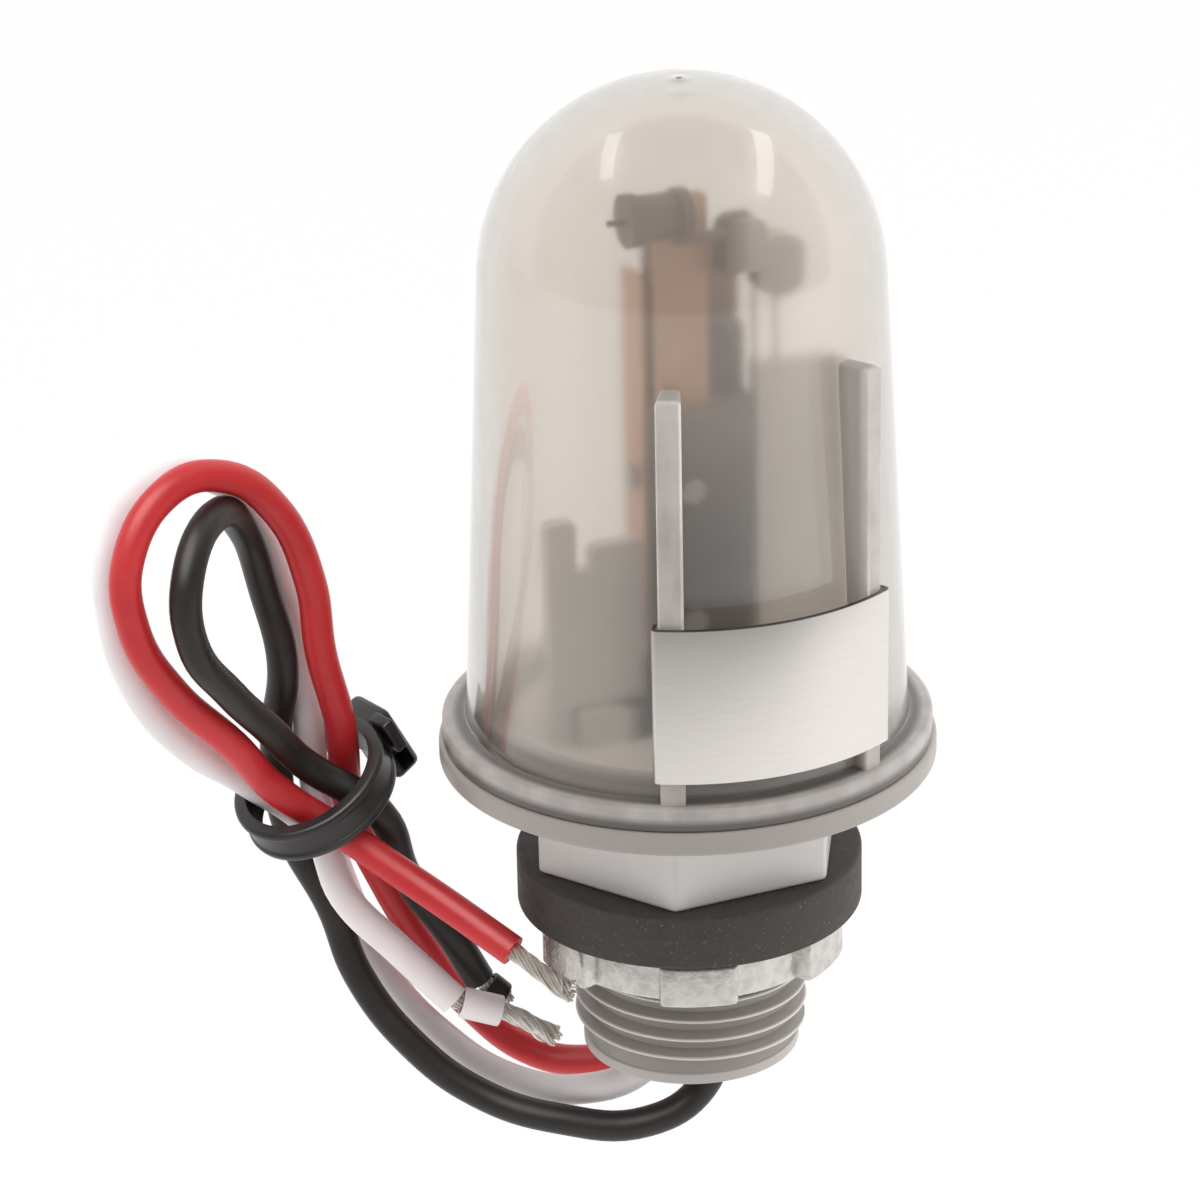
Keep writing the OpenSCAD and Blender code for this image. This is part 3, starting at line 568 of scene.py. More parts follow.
# %% Insulation
def insulation(name, dark, light, roughness):
    """Extruded vinyl with a faint uneven tone and a fine grain."""
    owner, tree, shader = paint(name, specular_ior_level=0.45)
    tone = add_tone(tree, shader, dark, light, 90.0)
    add_roughness(tree, shader, tone.outputs["Mask"], roughness, roughness + 0.1)
    add_grain(tree, shader, 900.0, 0.12, 0.00004)
    return owner


red_vinyl = insulation("red_insulation", (0.55, 0.018, 0.025), (0.64, 0.032, 0.037), 0.33)
white_vinyl = insulation("white_insulation", (0.81, 0.765, 0.79), (0.88, 0.845, 0.87), 0.35)
black_vinyl = insulation("black_insulation", (0.016, 0.0135, 0.012), (0.026, 0.022, 0.020), 0.36)
print("insulation:", red_vinyl.name, white_vinyl.name, black_vinyl.name)

# %% [markdown]
# ## Lead routes
# The wires could be swept meshes, but a curve with a round bevel is the natural form of a wire. Its points
# are the same round numbers that the CAD tubes follow, so each lead lies exactly where its solid is.

# %% Lead routes
LEAD_D = 2.8
LEAD_TOP = 31
lead_routes = {
    "red_lead": [
        (-1, 3, LEAD_TOP), (-1, 3, 23), (-1, 3, 15), (-1, 3, 8), (-1, 3, 1.5), (-3, 5, -3), (-7, 8, -5),
        (-11, 10.5, -4.5), (-16, 13, 0), (-20, 14, 6.5), (-23.5, 14, 13.5), (-26.5, 14, 21.5),
        (-27.5, 13, 30.5), (-29, 13, 37.5), (-29.5, 13.5, 44), (-32.5, 13, 51.5), (-38.5, 10.5, 56.5),
        (-43.5, 8.5, 56.5), (-47.5, 7, 52), (-47.5, 7, 45.5), (-44, 8, 38.5), (-38.5, 9, 32),
        (-34.5, 10.5, 26.5), (-28.5, 8, 21.5), (-26, 6, 19.5), (-22, 2, 16.5), (-18, -3, 13.5),
    ],
    "white_lead": [
        (-2.5, -0.5, LEAD_TOP), (-2.5, -0.5, 23), (-2.5, -0.5, 15), (-2.5, -0.5, 8), (-2.5, -0.5, 1.5),
        (-4.5, 1, -3), (-9, 3, -5), (-14.5, 7.5, -5), (-19.5, 11.5, -1.5), (-23.5, 15.5, 4),
        (-26, 17.5, 11.5), (-28.5, 16.5, 21), (-29.5, 16, 30), (-29.5, 17.5, 35.5), (-30.5, 18, 42),
        (-33, 17.5, 49), (-37.5, 15.5, 54.5), (-43.5, 13.5, 55), (-47.5, 11.5, 51), (-48, 11, 44.5),
        (-46, 11, 37.5), (-41.5, 12.5, 31), (-36, 14.5, 26), (-30.5, 12, 21), (-29, 9.5, 15.5),
        (-25, 7, 10.5), (-21, 4, 6),
    ],
    "black_lead": [
        (1.5, -2.5, LEAD_TOP), (1.5, -2.5, 23), (1.5, -2.5, 15), (1.5, -2.5, 8), (1.5, -2.5, 1.5),
        (0, -2.5, -4), (-5, -1.5, -7), (-12.5, 1.5, -6.5), (-18.5, 5.5, -4.5), (-23.5, 9, 0),
        (-27, 12.5, 6), (-28.5, 14.5, 12), (-31.5, 16.5, 19.5), (-32.5, 16, 28.5), (-32, 14.5, 36.5),
        (-33, 15.5, 43), (-35.2, 14, 49.8), (-39, 9.5, 53.3), (-43, 5, 50.5), (-43, 5, 44),
        (-39.2, 7, 37.8), (-35.2, 9.5, 32.8), (-31.5, 11.5, 28), (-25.5, 9, 23), (-23, 9.5, 16),
        (-20, 7.5, 11), (-17.5, 7, 6),
    ],
}


def wire(name, route, diameter):
    """A round wire on one smooth Bezier spline through a route in millimetres."""
    data = bpy.data.curves.new(name, "CURVE")
    data.dimensions = "3D"
    data.bevel_depth = diameter / 2 * MM
    data.bevel_resolution = 6
    data.resolution_u = 8
    data.use_fill_caps = True
    spline = data.splines.new("BEZIER")
    spline.bezier_points.add(len(route) - 1)
    for point, place in zip(spline.bezier_points, route):
        point.co = Vector(place) * MM
        point.handle_left_type = "AUTO"
        point.handle_right_type = "AUTO"
    made = bpy.data.objects.new(name, data)
    scene.collection.objects.link(made)
    return made


def route_length(route):
    """Length of a route in millimetres, from point to point."""
    return sum((Vector(a) - Vector(b)).length for a, b in zip(route, route[1:]))


leads = {}
for lead_name, vinyl in (("red_lead", red_vinyl), ("white_lead", white_vinyl), ("black_lead", black_vinyl)):
    lead = wire(lead_name + "_wire", lead_routes[lead_name], LEAD_D)
    leads[lead_name] = dress(lead, vinyl, "root", lead_name)
    if vinyl is not white_vinyl:
        glossy_leads.objects.link(lead)
    print(lead.name, round(route_length(lead_routes[lead_name]), 1), "mm")

# %% [markdown]
# ## Geometry Nodes helpers
# Three things on the switch repeat or follow a path: the bared wires, the thread and the nut's lugs. Each
# gets a Geometry Nodes tree with named inputs. A tree can be wired by hand in the editor; here the same few
# steps build it, end it with its material, and turn its result into a plain mesh.

# %% Geometry Nodes helpers
def math_node(tree, operation, a, b=None):
    """A math node whose inputs are sockets or plain numbers; returns its output."""
    made = tree.nodes.new("ShaderNodeMath")
    made.operation = operation
    for socket, value in zip(made.inputs, (a, b)):
        if hasattr(value, "is_output"):
            tree.links.new(value, socket)
        elif value is not None:
            socket.default_value = value
    return made.outputs[0]


def vector_node(tree, operation, a, b):
    """A vector math node with linked inputs; Scale takes its factor second."""
    made = tree.nodes.new("ShaderNodeVectorMath")
    made.operation = operation
    tree.links.new(a, made.inputs[0])
    tree.links.new(b, made.inputs["Scale"] if operation == "SCALE" else made.inputs[1])
    return made.outputs[0]


def geometry_tree(name, sizes):
    """A Geometry Nodes tree with a geometry input, named sizes and a material; returns it and its ends."""
    tree = bpy.data.node_groups.new(name, "GeometryNodeTree")
    tree.interface.new_socket(name="Geometry", in_out="INPUT", socket_type="NodeSocketGeometry")
    for label, value in sizes.items():
        kind = "NodeSocketInt" if isinstance(value, int) else "NodeSocketFloat"
        tree.interface.new_socket(name=label, in_out="INPUT", socket_type=kind).default_value = value
    tree.interface.new_socket(name="Material", in_out="INPUT", socket_type="NodeSocketMaterial")
    tree.interface.new_socket(name="Geometry", in_out="OUTPUT", socket_type="NodeSocketGeometry")
    return tree, tree.nodes.new("NodeGroupInput"), tree.nodes.new("NodeGroupOutput")


def end_tree(tree, source, result, geometry):
    """Ends a tree in Realize Instances and Set Material."""
    realize = tree.nodes.new("GeometryNodeRealizeInstances")
    colour = tree.nodes.new("GeometryNodeSetMaterial")
    tree.links.new(geometry, realize.inputs["Geometry"])
    tree.links.new(realize.outputs["Geometry"], colour.inputs["Geometry"])
    tree.links.new(source.outputs["Material"], colour.inputs["Material"])
    tree.links.new(colour.outputs["Geometry"], result.inputs["Geometry"])


def grow(piece, tree, **values):
    """Runs a tree on a piece with the given inputs and keeps the result as a plain mesh."""
    modifier = piece.modifiers.new(tree.name, "NODES")
    modifier.node_group = tree
    for socket in tree.interface.items_tree:
        key = socket.name.lower().replace(" ", "_")
        if socket.in_out == "INPUT" and key in values:
            modifier[socket.identifier] = values[key]
    made = bpy.data.objects.new(piece.name + "_made", evaluated_mesh(piece))
    scene.collection.objects.link(made)
    bpy.data.objects.remove(piece)
    return made


# %% [markdown]
# ## Bared strands
# Each lead ends in a twist of fine tinned wires, splayed a little at the tip. Drawing each wire by hand would
# be slow, so a Geometry Nodes tree copies one centre line, moves each copy out to its place in the bundle,
# turns it as it goes along, and thickens it. The seed is fixed, so every run splays the same way.

# %% Copies of the centre line
STRAND_POINTS = 28
strand_tree, source, result = geometry_tree(
    "twisted_strands",
    {"Wires": 22, "Bundle Radius": 0.00072, "Wire Radius": 0.00013, "Turns": 1.0, "Splay": 0.3, "Seed": 1},
)
links = strand_tree.links
fine = strand_tree.nodes.new("GeometryNodeResampleCurve")
fine.inputs["Count"].default_value = STRAND_POINTS
copies = strand_tree.nodes.new("GeometryNodeDuplicateElements")
copies.domain = "SPLINE"
links.new(source.outputs["Geometry"], fine.inputs["Curve"])
links.new(fine.outputs["Curve"], copies.inputs["Geometry"])
links.new(source.outputs["Wires"], copies.inputs["Amount"])
along = strand_tree.nodes.new("GeometryNodeSplineParameter").outputs["Factor"]
tangent = strand_tree.nodes.new("GeometryNodeInputTangent").outputs[0]
normal = strand_tree.nodes.new("GeometryNodeInputNormal").outputs[0]
across = strand_tree.nodes.new("ShaderNodeVectorMath")
across.operation = "CROSS_PRODUCT"
links.new(tangent, across.inputs[0])
links.new(normal, across.inputs[1])
chance = strand_tree.nodes.new("FunctionNodeRandomValue")
links.new(copies.outputs["Duplicate Index"], chance.inputs["ID"])
links.new(source.outputs["Seed"], chance.inputs["Seed"])
luck = chance.outputs["Value"]

# %% Each wire's place in the bundle
GOLDEN_ANGLE = 2.39996
TIP_LOSS = 0.9 * MM
share = math_node(strand_tree, "DIVIDE", copies.outputs["Duplicate Index"], source.outputs["Wires"])
spiral_place = math_node(strand_tree, "SQRT", share)
own_angle = math_node(strand_tree, "MULTIPLY", copies.outputs["Duplicate Index"], GOLDEN_ANGLE)
turned = math_node(strand_tree, "MULTIPLY", along, source.outputs["Turns"])
twist = math_node(strand_tree, "MULTIPLY", turned, math.tau)
angle = math_node(strand_tree, "ADD", own_angle, twist)
tip = math_node(strand_tree, "POWER", along, 4.0)
stray = math_node(strand_tree, "MULTIPLY", tip, luck)
spread = math_node(strand_tree, "MULTIPLY", stray, source.outputs["Splay"])
reach = math_node(strand_tree, "MULTIPLY", spiral_place, source.outputs["Bundle Radius"])
reach = math_node(strand_tree, "MULTIPLY", reach, math_node(strand_tree, "ADD", spread, 1.0))
sideways = math_node(strand_tree, "MULTIPLY", reach, math_node(strand_tree, "COSINE", angle))
upwards = math_node(strand_tree, "MULTIPLY", reach, math_node(strand_tree, "SINE", angle))
side = vector_node(strand_tree, "SCALE", normal, sideways)
rise = vector_node(strand_tree, "SCALE", across.outputs[0], upwards)
shorten = math_node(strand_tree, "MULTIPLY", stray, -TIP_LOSS)
pull = vector_node(strand_tree, "SCALE", tangent, shorten)
move = vector_node(strand_tree, "ADD", vector_node(strand_tree, "ADD", side, rise), pull)
shift = strand_tree.nodes.new("GeometryNodeSetPosition")
links.new(copies.outputs["Geometry"], shift.inputs["Geometry"])
links.new(move, shift.inputs["Offset"])

# %% Thickened wires
WIRE_SIDES = 7
round_wire = strand_tree.nodes.new("GeometryNodeCurvePrimitiveCircle")
round_wire.inputs["Resolution"].default_value = WIRE_SIDES
links.new(source.outputs["Wire Radius"], round_wire.inputs["Radius"])
sweep = strand_tree.nodes.new("GeometryNodeCurveToMesh")
sweep.inputs["Fill Caps"].default_value = True
links.new(shift.outputs["Geometry"], sweep.inputs["Curve"])
links.new(round_wire.outputs["Curve"], sweep.inputs["Profile Curve"])
end_tree(strand_tree, source, result, sweep.outputs["Mesh"])
print("tree:", strand_tree.name, "-", len(strand_tree.nodes), "nodes")

# %% [markdown]
# ## Tinned wire
# The wires are copper with a thin coat of tin, bright where they rub and dull in between. Each could have its
# own colour, but an uneven tone over the whole twist is enough at this size.

# %% Tinned wire and the three bared ends
tinned, tree, shader = paint("tinned_copper", metallic=0.75)
tone = add_tone(tree, shader, (0.74, 0.69, 0.62), (0.94, 0.91, 0.86), 500.0)
add_roughness(tree, shader, tone.outputs["Mask"], 0.38, 0.24)

STRAND_ROUTES = {
    "red_strands": [(-18, -3, 13.5), (-16, -6, 12), (-14.5, -8.5, 11)],
    "white_strands": [(-21, 4, 6), (-16.5, 2.5, 4.5), (-12.5, 0.5, 2)],
    "black_strands": [(-17.5, 7, 6), (-15, 6, 3.5)],
}
WIRES, BUNDLE_R, WIRE_R, MM_PER_TURN = 34, 0.714, 0.12, 10
for seed, (strand_name, route) in enumerate(STRAND_ROUTES.items()):
    path = wire(strand_name + "_twist", route, 0)
    twist = grow(
        path, strand_tree, material=tinned, wires=WIRES, bundle_radius=BUNDLE_R * MM,
        wire_radius=WIRE_R * MM, turns=route_length(route) / MM_PER_TURN, splay=0.8, seed=seed,
    )
    dress(twist, tinned, "root", strand_name)

# %% [markdown]
# ## Slid insulation
# On the white and the black lead a short end of insulation is still on the strands, cut free and slid along.
# It is a small sleeve with softened rims, turned about the strands' own line.

# %% Slugs
SLUG_BORE, SLUG_EDGE = 2.1, 0.15
slug_lengths = {"white_slug": 3.6, "black_slug": 1.8}


def along_line(piece, start, direction):
    """Moves a piece made about Z so that Z runs along a direction from a start, all in the mesh."""
    turn_to = Vector(direction).to_track_quat("Z", "Y").to_matrix().to_4x4()
    piece.data.transform(Matrix.Translation(Vector(start) * MM) @ turn_to)
    return piece


for colour, vinyl in (("white", white_vinyl), ("black", black_vinyl)):
    start, end = (Vector(point) for point in STRAND_ROUTES[colour + "_strands"][:2])
    length = slug_lengths[colour + "_slug"]
    low = ((end - start).length - length) / 2
    high = low + length
    section = [
        (SLUG_BORE / 2, low), (LEAD_D / 2, low, SLUG_EDGE), (LEAD_D / 2, high, SLUG_EDGE),
        (SLUG_BORE / 2, high),
    ]
    sleeve = revolve(colour + "_sleeve", rounded(section, 3), 40, ring=True)
    dress(along_line(sleeve, start, end - start), vinyl, "root", colour + "_slug")

# %% [markdown]
# ## Tie
# The black tie is a band with a rolled rim, a chunky head behind the leads and the cut end of its tail. The
# band could follow a curve round the leads, but it is stiff and nearly round: so it is turned, the head is a
# softened block, and both are joined before they are set askew round the leads.

# %% Tie
TIE_CENTRE = Vector((-30.2, 12.55, 25))
TIE_AXIS = Vector((-0.48, -0.13, 0.87)).normalized()
TIE_R, TIE_OUT, TIE_HALF = 6.0, 7.2, 1.75


def block(name, low, high, edge):
    """A box between two corners with rounded edges."""
    bm = bmesh.new()
    bmesh.ops.create_cube(bm, size=1)
    size = Vector(high) - Vector(low)
    bmesh.ops.scale(bm, vec=size, verts=bm.verts)
    bmesh.ops.translate(bm, vec=(Vector(low) + Vector(high)) / 2, verts=bm.verts)
    return bevel(add_mesh(name, bm), edge)


band = [
    (TIE_R, -TIE_HALF), (TIE_OUT, -TIE_HALF, 0.4), (TIE_OUT, -1.05, 0.2), (TIE_OUT - 0.2, -0.85, 0.2),
    (TIE_OUT - 0.2, 0.85, 0.2), (TIE_OUT, 1.05, 0.2), (TIE_OUT, TIE_HALF, 0.4), (TIE_R, TIE_HALF),
]
tie = revolve("tie", rounded(band, 3), 96, ring=True)
head = block("tie_head", (-9.2, -3.7, -5.5), (-6.35, 1.3, 1.5), 0.7)
slot = block("tie_slot", (-8.6, -1.2, -4.9), (-7.2, 2.5, -2.2), 0.3)
combine(head, slot, "DIFFERENCE")
combine(tie, head, "UNION")
combine(tie, block("tie_tail", (-8.4, 0.5, -1.7), (-7.2, 2.9, 1.7), 0.25), "UNION")
tilt_angle = math.acos(TIE_AXIS.z)
turn_angle = math.atan2(TIE_AXIS.y, TIE_AXIS.x)
askew = Matrix.Rotation(turn_angle, 4, "Z") @ Matrix.Rotation(tilt_angle, 4, "Y")
tie.data.transform(Matrix.Translation(TIE_CENTRE * MM) @ askew)
print("tie leans", round(math.degrees(tilt_angle)), "degrees")

# %% [markdown]
# ## Tie plastic
# The tie is black nylon: glossy where the mould was polished, duller where it was pulled tight. A mask from
# the uneven tone drives the roughness, so shine and dullness lie in the same patches as the tone.

# %% Tie plastic
tie_plastic, tree, shader = paint("tie_plastic", specular_ior_level=0.5)
tone = add_tone(tree, shader, (0.014, 0.0125, 0.012), (0.028, 0.025, 0.024), 160.0)
add_roughness(tree, shader, tone.outputs["Mask"], 0.3, 0.42)
add_grain(tree, shader, 800.0, 0.15, 0.00005)
dress(tie, tie_plastic, "root", "wire_tie")
glossy_leads.objects.link(tie)

# %% [markdown]
# ## Cords
# The real leads can be bent by hand and the drawn ones can't. This cell only looks up each lead's route
# again and lists the leads.

# %% Cords
for lead_name, lead in leads.items():
    route = lead_routes[lead_name]
print("cords:", list(leads))

# %% [markdown]
# ## Base
# A light grey moulding: a flange, a hexagon for a wrench and a half-inch threaded stem. It could be carved
# from a cylinder, but nearly all of it is round, so the body is one turned outline, and the hexagon is a
# bevelled prism that is joined to it.

# %% Base body
CREST_R, ROOT_R, PITCH = 10.3, 9.35, 1.814
STEM_TOP, FLANGE_LOW, FLOOR_Z = 19.2, 28.05, 30.15
FLANGE_R, SPIGOT_R, SPIGOT_IN, SPIGOT_TOP = 21.7, 17.29, 16.09, 33.55
HEX_R, HEX_TURN = 14.45, 2
LEAD_IN_R, LEAD_IN_TOP = 9.6, 1.0
body = [
    (0, 0), (LEAD_IN_R, 0, 0.25), (LEAD_IN_R, LEAD_IN_TOP, 0.1), (ROOT_R, 1.1), (ROOT_R, FLANGE_LOW),
    (FLANGE_R, FLANGE_LOW, 0.5), (FLANGE_R, FLOOR_Z, 0.45), (SPIGOT_R, FLOOR_Z), (SPIGOT_R, SPIGOT_TOP, 0.3),
    (SPIGOT_IN, SPIGOT_TOP), (SPIGOT_IN, FLOOR_Z), (0, FLOOR_Z),
]
base = revolve("base_moulding", rounded(body), 144)
hexagon = arc((0, 0), HEX_R, HEX_TURN, HEX_TURN + 300, 5)
combine(base, bevel(prism("hexagon", hexagon, STEM_TOP, FLANGE_LOW + 0.5), 0.4), "UNION")
print("base body:", len(base.data.polygons), "faces before its thread")

# %% [markdown]
# ## Thread
# The stem has fourteen threads to the inch. Stacked rings would look much the same, but a real thread climbs,
# and it follows a rule: so a Geometry Nodes tree sweeps one tooth along a spiral and lets it sink into the
# stem at the mouth.

# %% Thread tree
STEPS_PER_TURN = 64
RUN_OUT_SHARE, RUN_OUT_SINK = 0.07, 0.88
thread_tree, source, result = geometry_tree(
    "swept_thread",
    {"Turns": 9.4, "Pitch": 0.0018, "Root": 0.009, "Depth": 0.001, "Foot": 0.0015, "Crest": 0.0004},
)
links = thread_tree.links
spiral = thread_tree.nodes.new("GeometryNodeCurveSpiral")
spiral.inputs["Resolution"].default_value = STEPS_PER_TURN
links.new(source.outputs["Turns"], spiral.inputs["Rotations"])
links.new(source.outputs["Root"], spiral.inputs["Start Radius"])
links.new(source.outputs["Root"], spiral.inputs["End Radius"])
climb = math_node(thread_tree, "MULTIPLY", source.outputs["Turns"], source.outputs["Pitch"])
links.new(climb, spiral.inputs["Height"])
upright = thread_tree.nodes.new("GeometryNodeSetCurveNormal")
upright.mode = "Z_UP"
links.new(spiral.outputs["Curve"], upright.inputs["Curve"])
fade = thread_tree.nodes.new("ShaderNodeMapRange")
fade.inputs["From Max"].default_value = RUN_OUT_SHARE
fade.inputs["To Min"].default_value = RUN_OUT_SINK
fade.inputs["To Max"].default_value = 1.0
links.new(thread_tree.nodes.new("GeometryNodeSplineParameter").outputs["Factor"], fade.inputs["Value"])
squeeze = thread_tree.nodes.new("ShaderNodeCombineXYZ")
squeeze.inputs["Z"].default_value = 1.0
links.new(fade.outputs["Result"], squeeze.inputs["X"])
links.new(fade.outputs["Result"], squeeze.inputs["Y"])
here = thread_tree.nodes.new("GeometryNodeInputPosition").outputs[0]
run_out = thread_tree.nodes.new("GeometryNodeSetPosition")
links.new(upright.outputs["Curve"], run_out.inputs["Geometry"])
links.new(vector_node(thread_tree, "MULTIPLY", here, squeeze.outputs[0]), run_out.inputs["Position"])

# %% Tooth
tooth = thread_tree.nodes.new("GeometryNodeCurvePrimitiveQuadrilateral")
tooth.mode = "TRAPEZOID"
tooth.inputs["Offset"].default_value = 0
links.new(source.outputs["Depth"], tooth.inputs["Height"])
links.new(source.outputs["Foot"], tooth.inputs["Bottom Width"])
links.new(source.outputs["Crest"], tooth.inputs["Top Width"])
lay = thread_tree.nodes.new("GeometryNodeTransform")
lay.inputs["Rotation"].default_value = (0, 0, math.pi / 2)
links.new(tooth.outputs["Curve"], lay.inputs["Geometry"])
sweep = thread_tree.nodes.new("GeometryNodeCurveToMesh")
sweep.inputs["Fill Caps"].default_value = True
links.new(run_out.outputs["Geometry"], sweep.inputs["Curve"])
links.new(lay.outputs["Geometry"], sweep.inputs["Profile Curve"])
end_tree(thread_tree, source, result, sweep.outputs["Mesh"])
print("tree:", thread_tree.name, "-", len(thread_tree.nodes), "nodes")

# %% [markdown]
# ## Base plastic
# One grey plastic, but it does not look the same everywhere: the grooves and flanks of the thread and the
# flange's rim lie in shade, and the crests catch the light. A painted mask could show that. Here the distance
# from the axis and the height tell groove, crest and rim apart, and that shade is painted into the colour.

# %% Base plastic
RIM_IN, RIM_OUT = 16, 17.5
base_plastic, tree, shader = paint("base_plastic", specular_ior_level=0.5)
tone = add_tone(tree, shader, (0.61, 0.60, 0.59), (0.67, 0.66, 0.65), 70.0)
# painted shade: inside the crest radius the thread's grooves and flanks are darker; only the crests keep the
# plain grey
recolour(tree, shader, place_mask(tree, CREST_R - 0.2, CREST_R - 0.04, "Radius"), (0.30, 0.28, 0.265))
# a lighter painted shade on the lead-in band below the thread
recolour(tree, shader, place_mask(tree, LEAD_IN_TOP, LEAD_IN_TOP + 0.3, "Height"), (0.46, 0.44, 0.425))
# painted shade on the flange's rim, growing from RIM_IN to RIM_OUT and outwards
recolour(tree, shader, place_mask(tree, RIM_OUT, RIM_IN, "Radius"), (0.36, 0.338, 0.322))
add_roughness(tree, shader, tone.outputs["Mask"], 0.3, 0.42)
add_grain(tree, shader, 700.0, 0.15, 0.00005)
print(base_plastic.name, "- rim darker from", RIM_IN, "mm out")

# %% [markdown]
# ## Thread on the stem
# The swept tooth is joined to the turned body, and the passage for the leads is bored last, through all of
# it. The order matters: a tooth that is joined after the boring could close the passage again.

# %% Thread on the stem and the bore
THREAD_LOW, THREAD_TURNS = 1.405, 9.4
TOOTH_SINK, TOOTH_FOOT, TOOTH_CREST = 0.5, 1.78, 0.16
BORE_R, MOUTH_R = 7.0, 8.0
thread = grow(
    add_mesh("thread", bmesh.new()), thread_tree, material=base_plastic, turns=THREAD_TURNS, pitch=PITCH * MM,
    root=(ROOT_R + 0.5 * (CREST_R - ROOT_R) - TOOTH_SINK / 2) * MM,
    depth=(CREST_R - ROOT_R + TOOTH_SINK) * MM, foot=TOOTH_FOOT * MM, crest=TOOTH_CREST * MM,
)
thread.data.transform(Matrix.Translation((0, 0, THREAD_LOW * MM)) @ Matrix.Rotation(math.pi, 4, "Z"))
reach = max(math.hypot(v.co.x, v.co.y) for v in thread.data.vertices) / MM
heights = [v.co.z / MM for v in thread.data.vertices]
print("thread: crest radius", round(reach, 2), "heights", round(min(heights), 2), round(max(heights), 2))
combine(base, thread, "UNION")
bore = [(0, -1), (MOUTH_R, -1), (BORE_R, 0.4), (BORE_R, FLOOR_Z + 1), (0, FLOOR_Z + 1)]
combine(base, revolve("bore", bore, 96), "DIFFERENCE")
dress(base, base_plastic, "root", "base")

# %% [markdown]
# ## Cover
# The bullet-shaped cover is a smoky clear moulding with a little draft, two rails for the shield and a gate
# mark on top. It is one closed shell with its true wall, because both faces of the wall bend the light. The
# outside is turned, the rails are joined on, and the hollow is cut out last so that nothing sticks into it.

# %% Cover shape
DOME_R, CAVITY_R, DOME_Z, DRAFT = 17.3, 15.7, 71.85, 2.8
COVER_R, COVER_TOP = 21.35, 32.25
RAIL_ANGLE, RAIL_W, RAIL_R, RAIL_ROOT, RAIL_TOP = 26.6, 2.2, 20.6, 15.9, 68.25
RAIL_NECK = 1.5


def wall(radius, z):
    """Radius of the drafted side at a height, for a dome of this radius."""
    slope = math.radians(DRAFT)
    return radius * math.cos(slope) + (DOME_Z + radius * math.sin(slope) - z) * math.tan(slope)


outside = rounded([
    (0, FLOOR_Z), (COVER_R, FLOOR_Z, 0.3), (COVER_R, COVER_TOP, 0.4),
    (wall(DOME_R, COVER_TOP), COVER_TOP, 0.5),
    (wall(DOME_R, COVER_TOP + 3), COVER_TOP + 3),
])
outside += arc((0, DOME_Z), DOME_R, DRAFT, 88, 28)
pip_z = DOME_Z + DOME_R
gate_mark = [(0.5, 0.02), (0.4, 0.03), (0.28, 0.02), (0.2, -0.06), (0, -0.08)]
outside += [(r, pip_z + rise) for r, rise in gate_mark]
cover = revolve("cover", outside, 160)
rail_section = [
    (-RAIL_W / 2, -RAIL_R), (RAIL_W / 2, -RAIL_R), (RAIL_NECK / 2, -RAIL_ROOT), (-RAIL_NECK / 2, -RAIL_ROOT)
]
for side in (-1, 1):
    rail = bevel(prism("rail", rail_section, FLOOR_Z + 0.5, RAIL_TOP), 0.35)
    rail.data.transform(Matrix.Rotation(math.radians(side * RAIL_ANGLE), 4, "Z"))
    combine(cover, rail, "UNION")
hollow = [(0, FLOOR_Z - 1), (wall(CAVITY_R, FLOOR_Z - 1), FLOOR_Z - 1)]
hollow += arc((0, DOME_Z), CAVITY_R, DRAFT, 90, 28)
hollow[-1] = (0, DOME_Z + CAVITY_R)
combine(cover, revolve("hollow", hollow, 160), "DIFFERENCE")
print("cover wall at its foot:", round(wall(DOME_R, COVER_TOP) - wall(CAVITY_R, COVER_TOP), 2), "mm")

# %% [markdown]
# ## Cover plastic
# The smoke tint is in the plastic itself, and a fine matt skin inside blurs what lies behind. Glass with a
# volume would be truer and much slower, so the tint is the shader's colour, and it gets deeper where the wall
# is seen at a slant. Shadow rays pass straight through, or the pieces inside would stand in the dark. The
# coat is the polished outside.

# %% Cover plastic
EDGE_SMOKE = (0.79, 0.74, 0.695)
cover_plastic, tree, shader = paint(
    "cover_plastic", ior=1.46, transmission_weight=0.93, specular_ior_level=0.3, coat_weight=1.0,
    coat_roughness=0.02,
)
tone = add_tone(tree, shader, (0.87, 0.825, 0.78), (0.905, 0.87, 0.83), 45.0, 0.3, 0.7)
add_roughness(tree, shader, tone.outputs["Mask"], 0.15, 0.2)
facing = node(tree, "ShaderNodeLayerWeight", blend=0.5)
slanted = node(tree, "ShaderNodeMapRange", from_min=0.35, from_max=0.85, to_min=1.0, to_max=0.0)
tree.links.new(facing.outputs["Facing"], slanted.inputs["Value"])
recolour(tree, shader, slanted.outputs["Result"], EDGE_SMOKE)
clear = node(tree, "ShaderNodeBsdfTransparent", color=(0.985, 0.97, 0.955, 1))
path = node(tree, "ShaderNodeLightPath")
mix = node(tree, "ShaderNodeMixShader")
output = next(n for n in tree.nodes if n.type == "OUTPUT_MATERIAL")
tree.links.new(path.outputs["Is Shadow Ray"], mix.inputs["Fac"])
tree.links.new(shader.outputs["BSDF"], mix.inputs[1])
tree.links.new(clear.outputs["BSDF"], mix.inputs[2])
tree.links.new(mix.outputs["Shader"], output.inputs["Surface"])
dress(cover, cover_plastic, "root", "dome_cover")
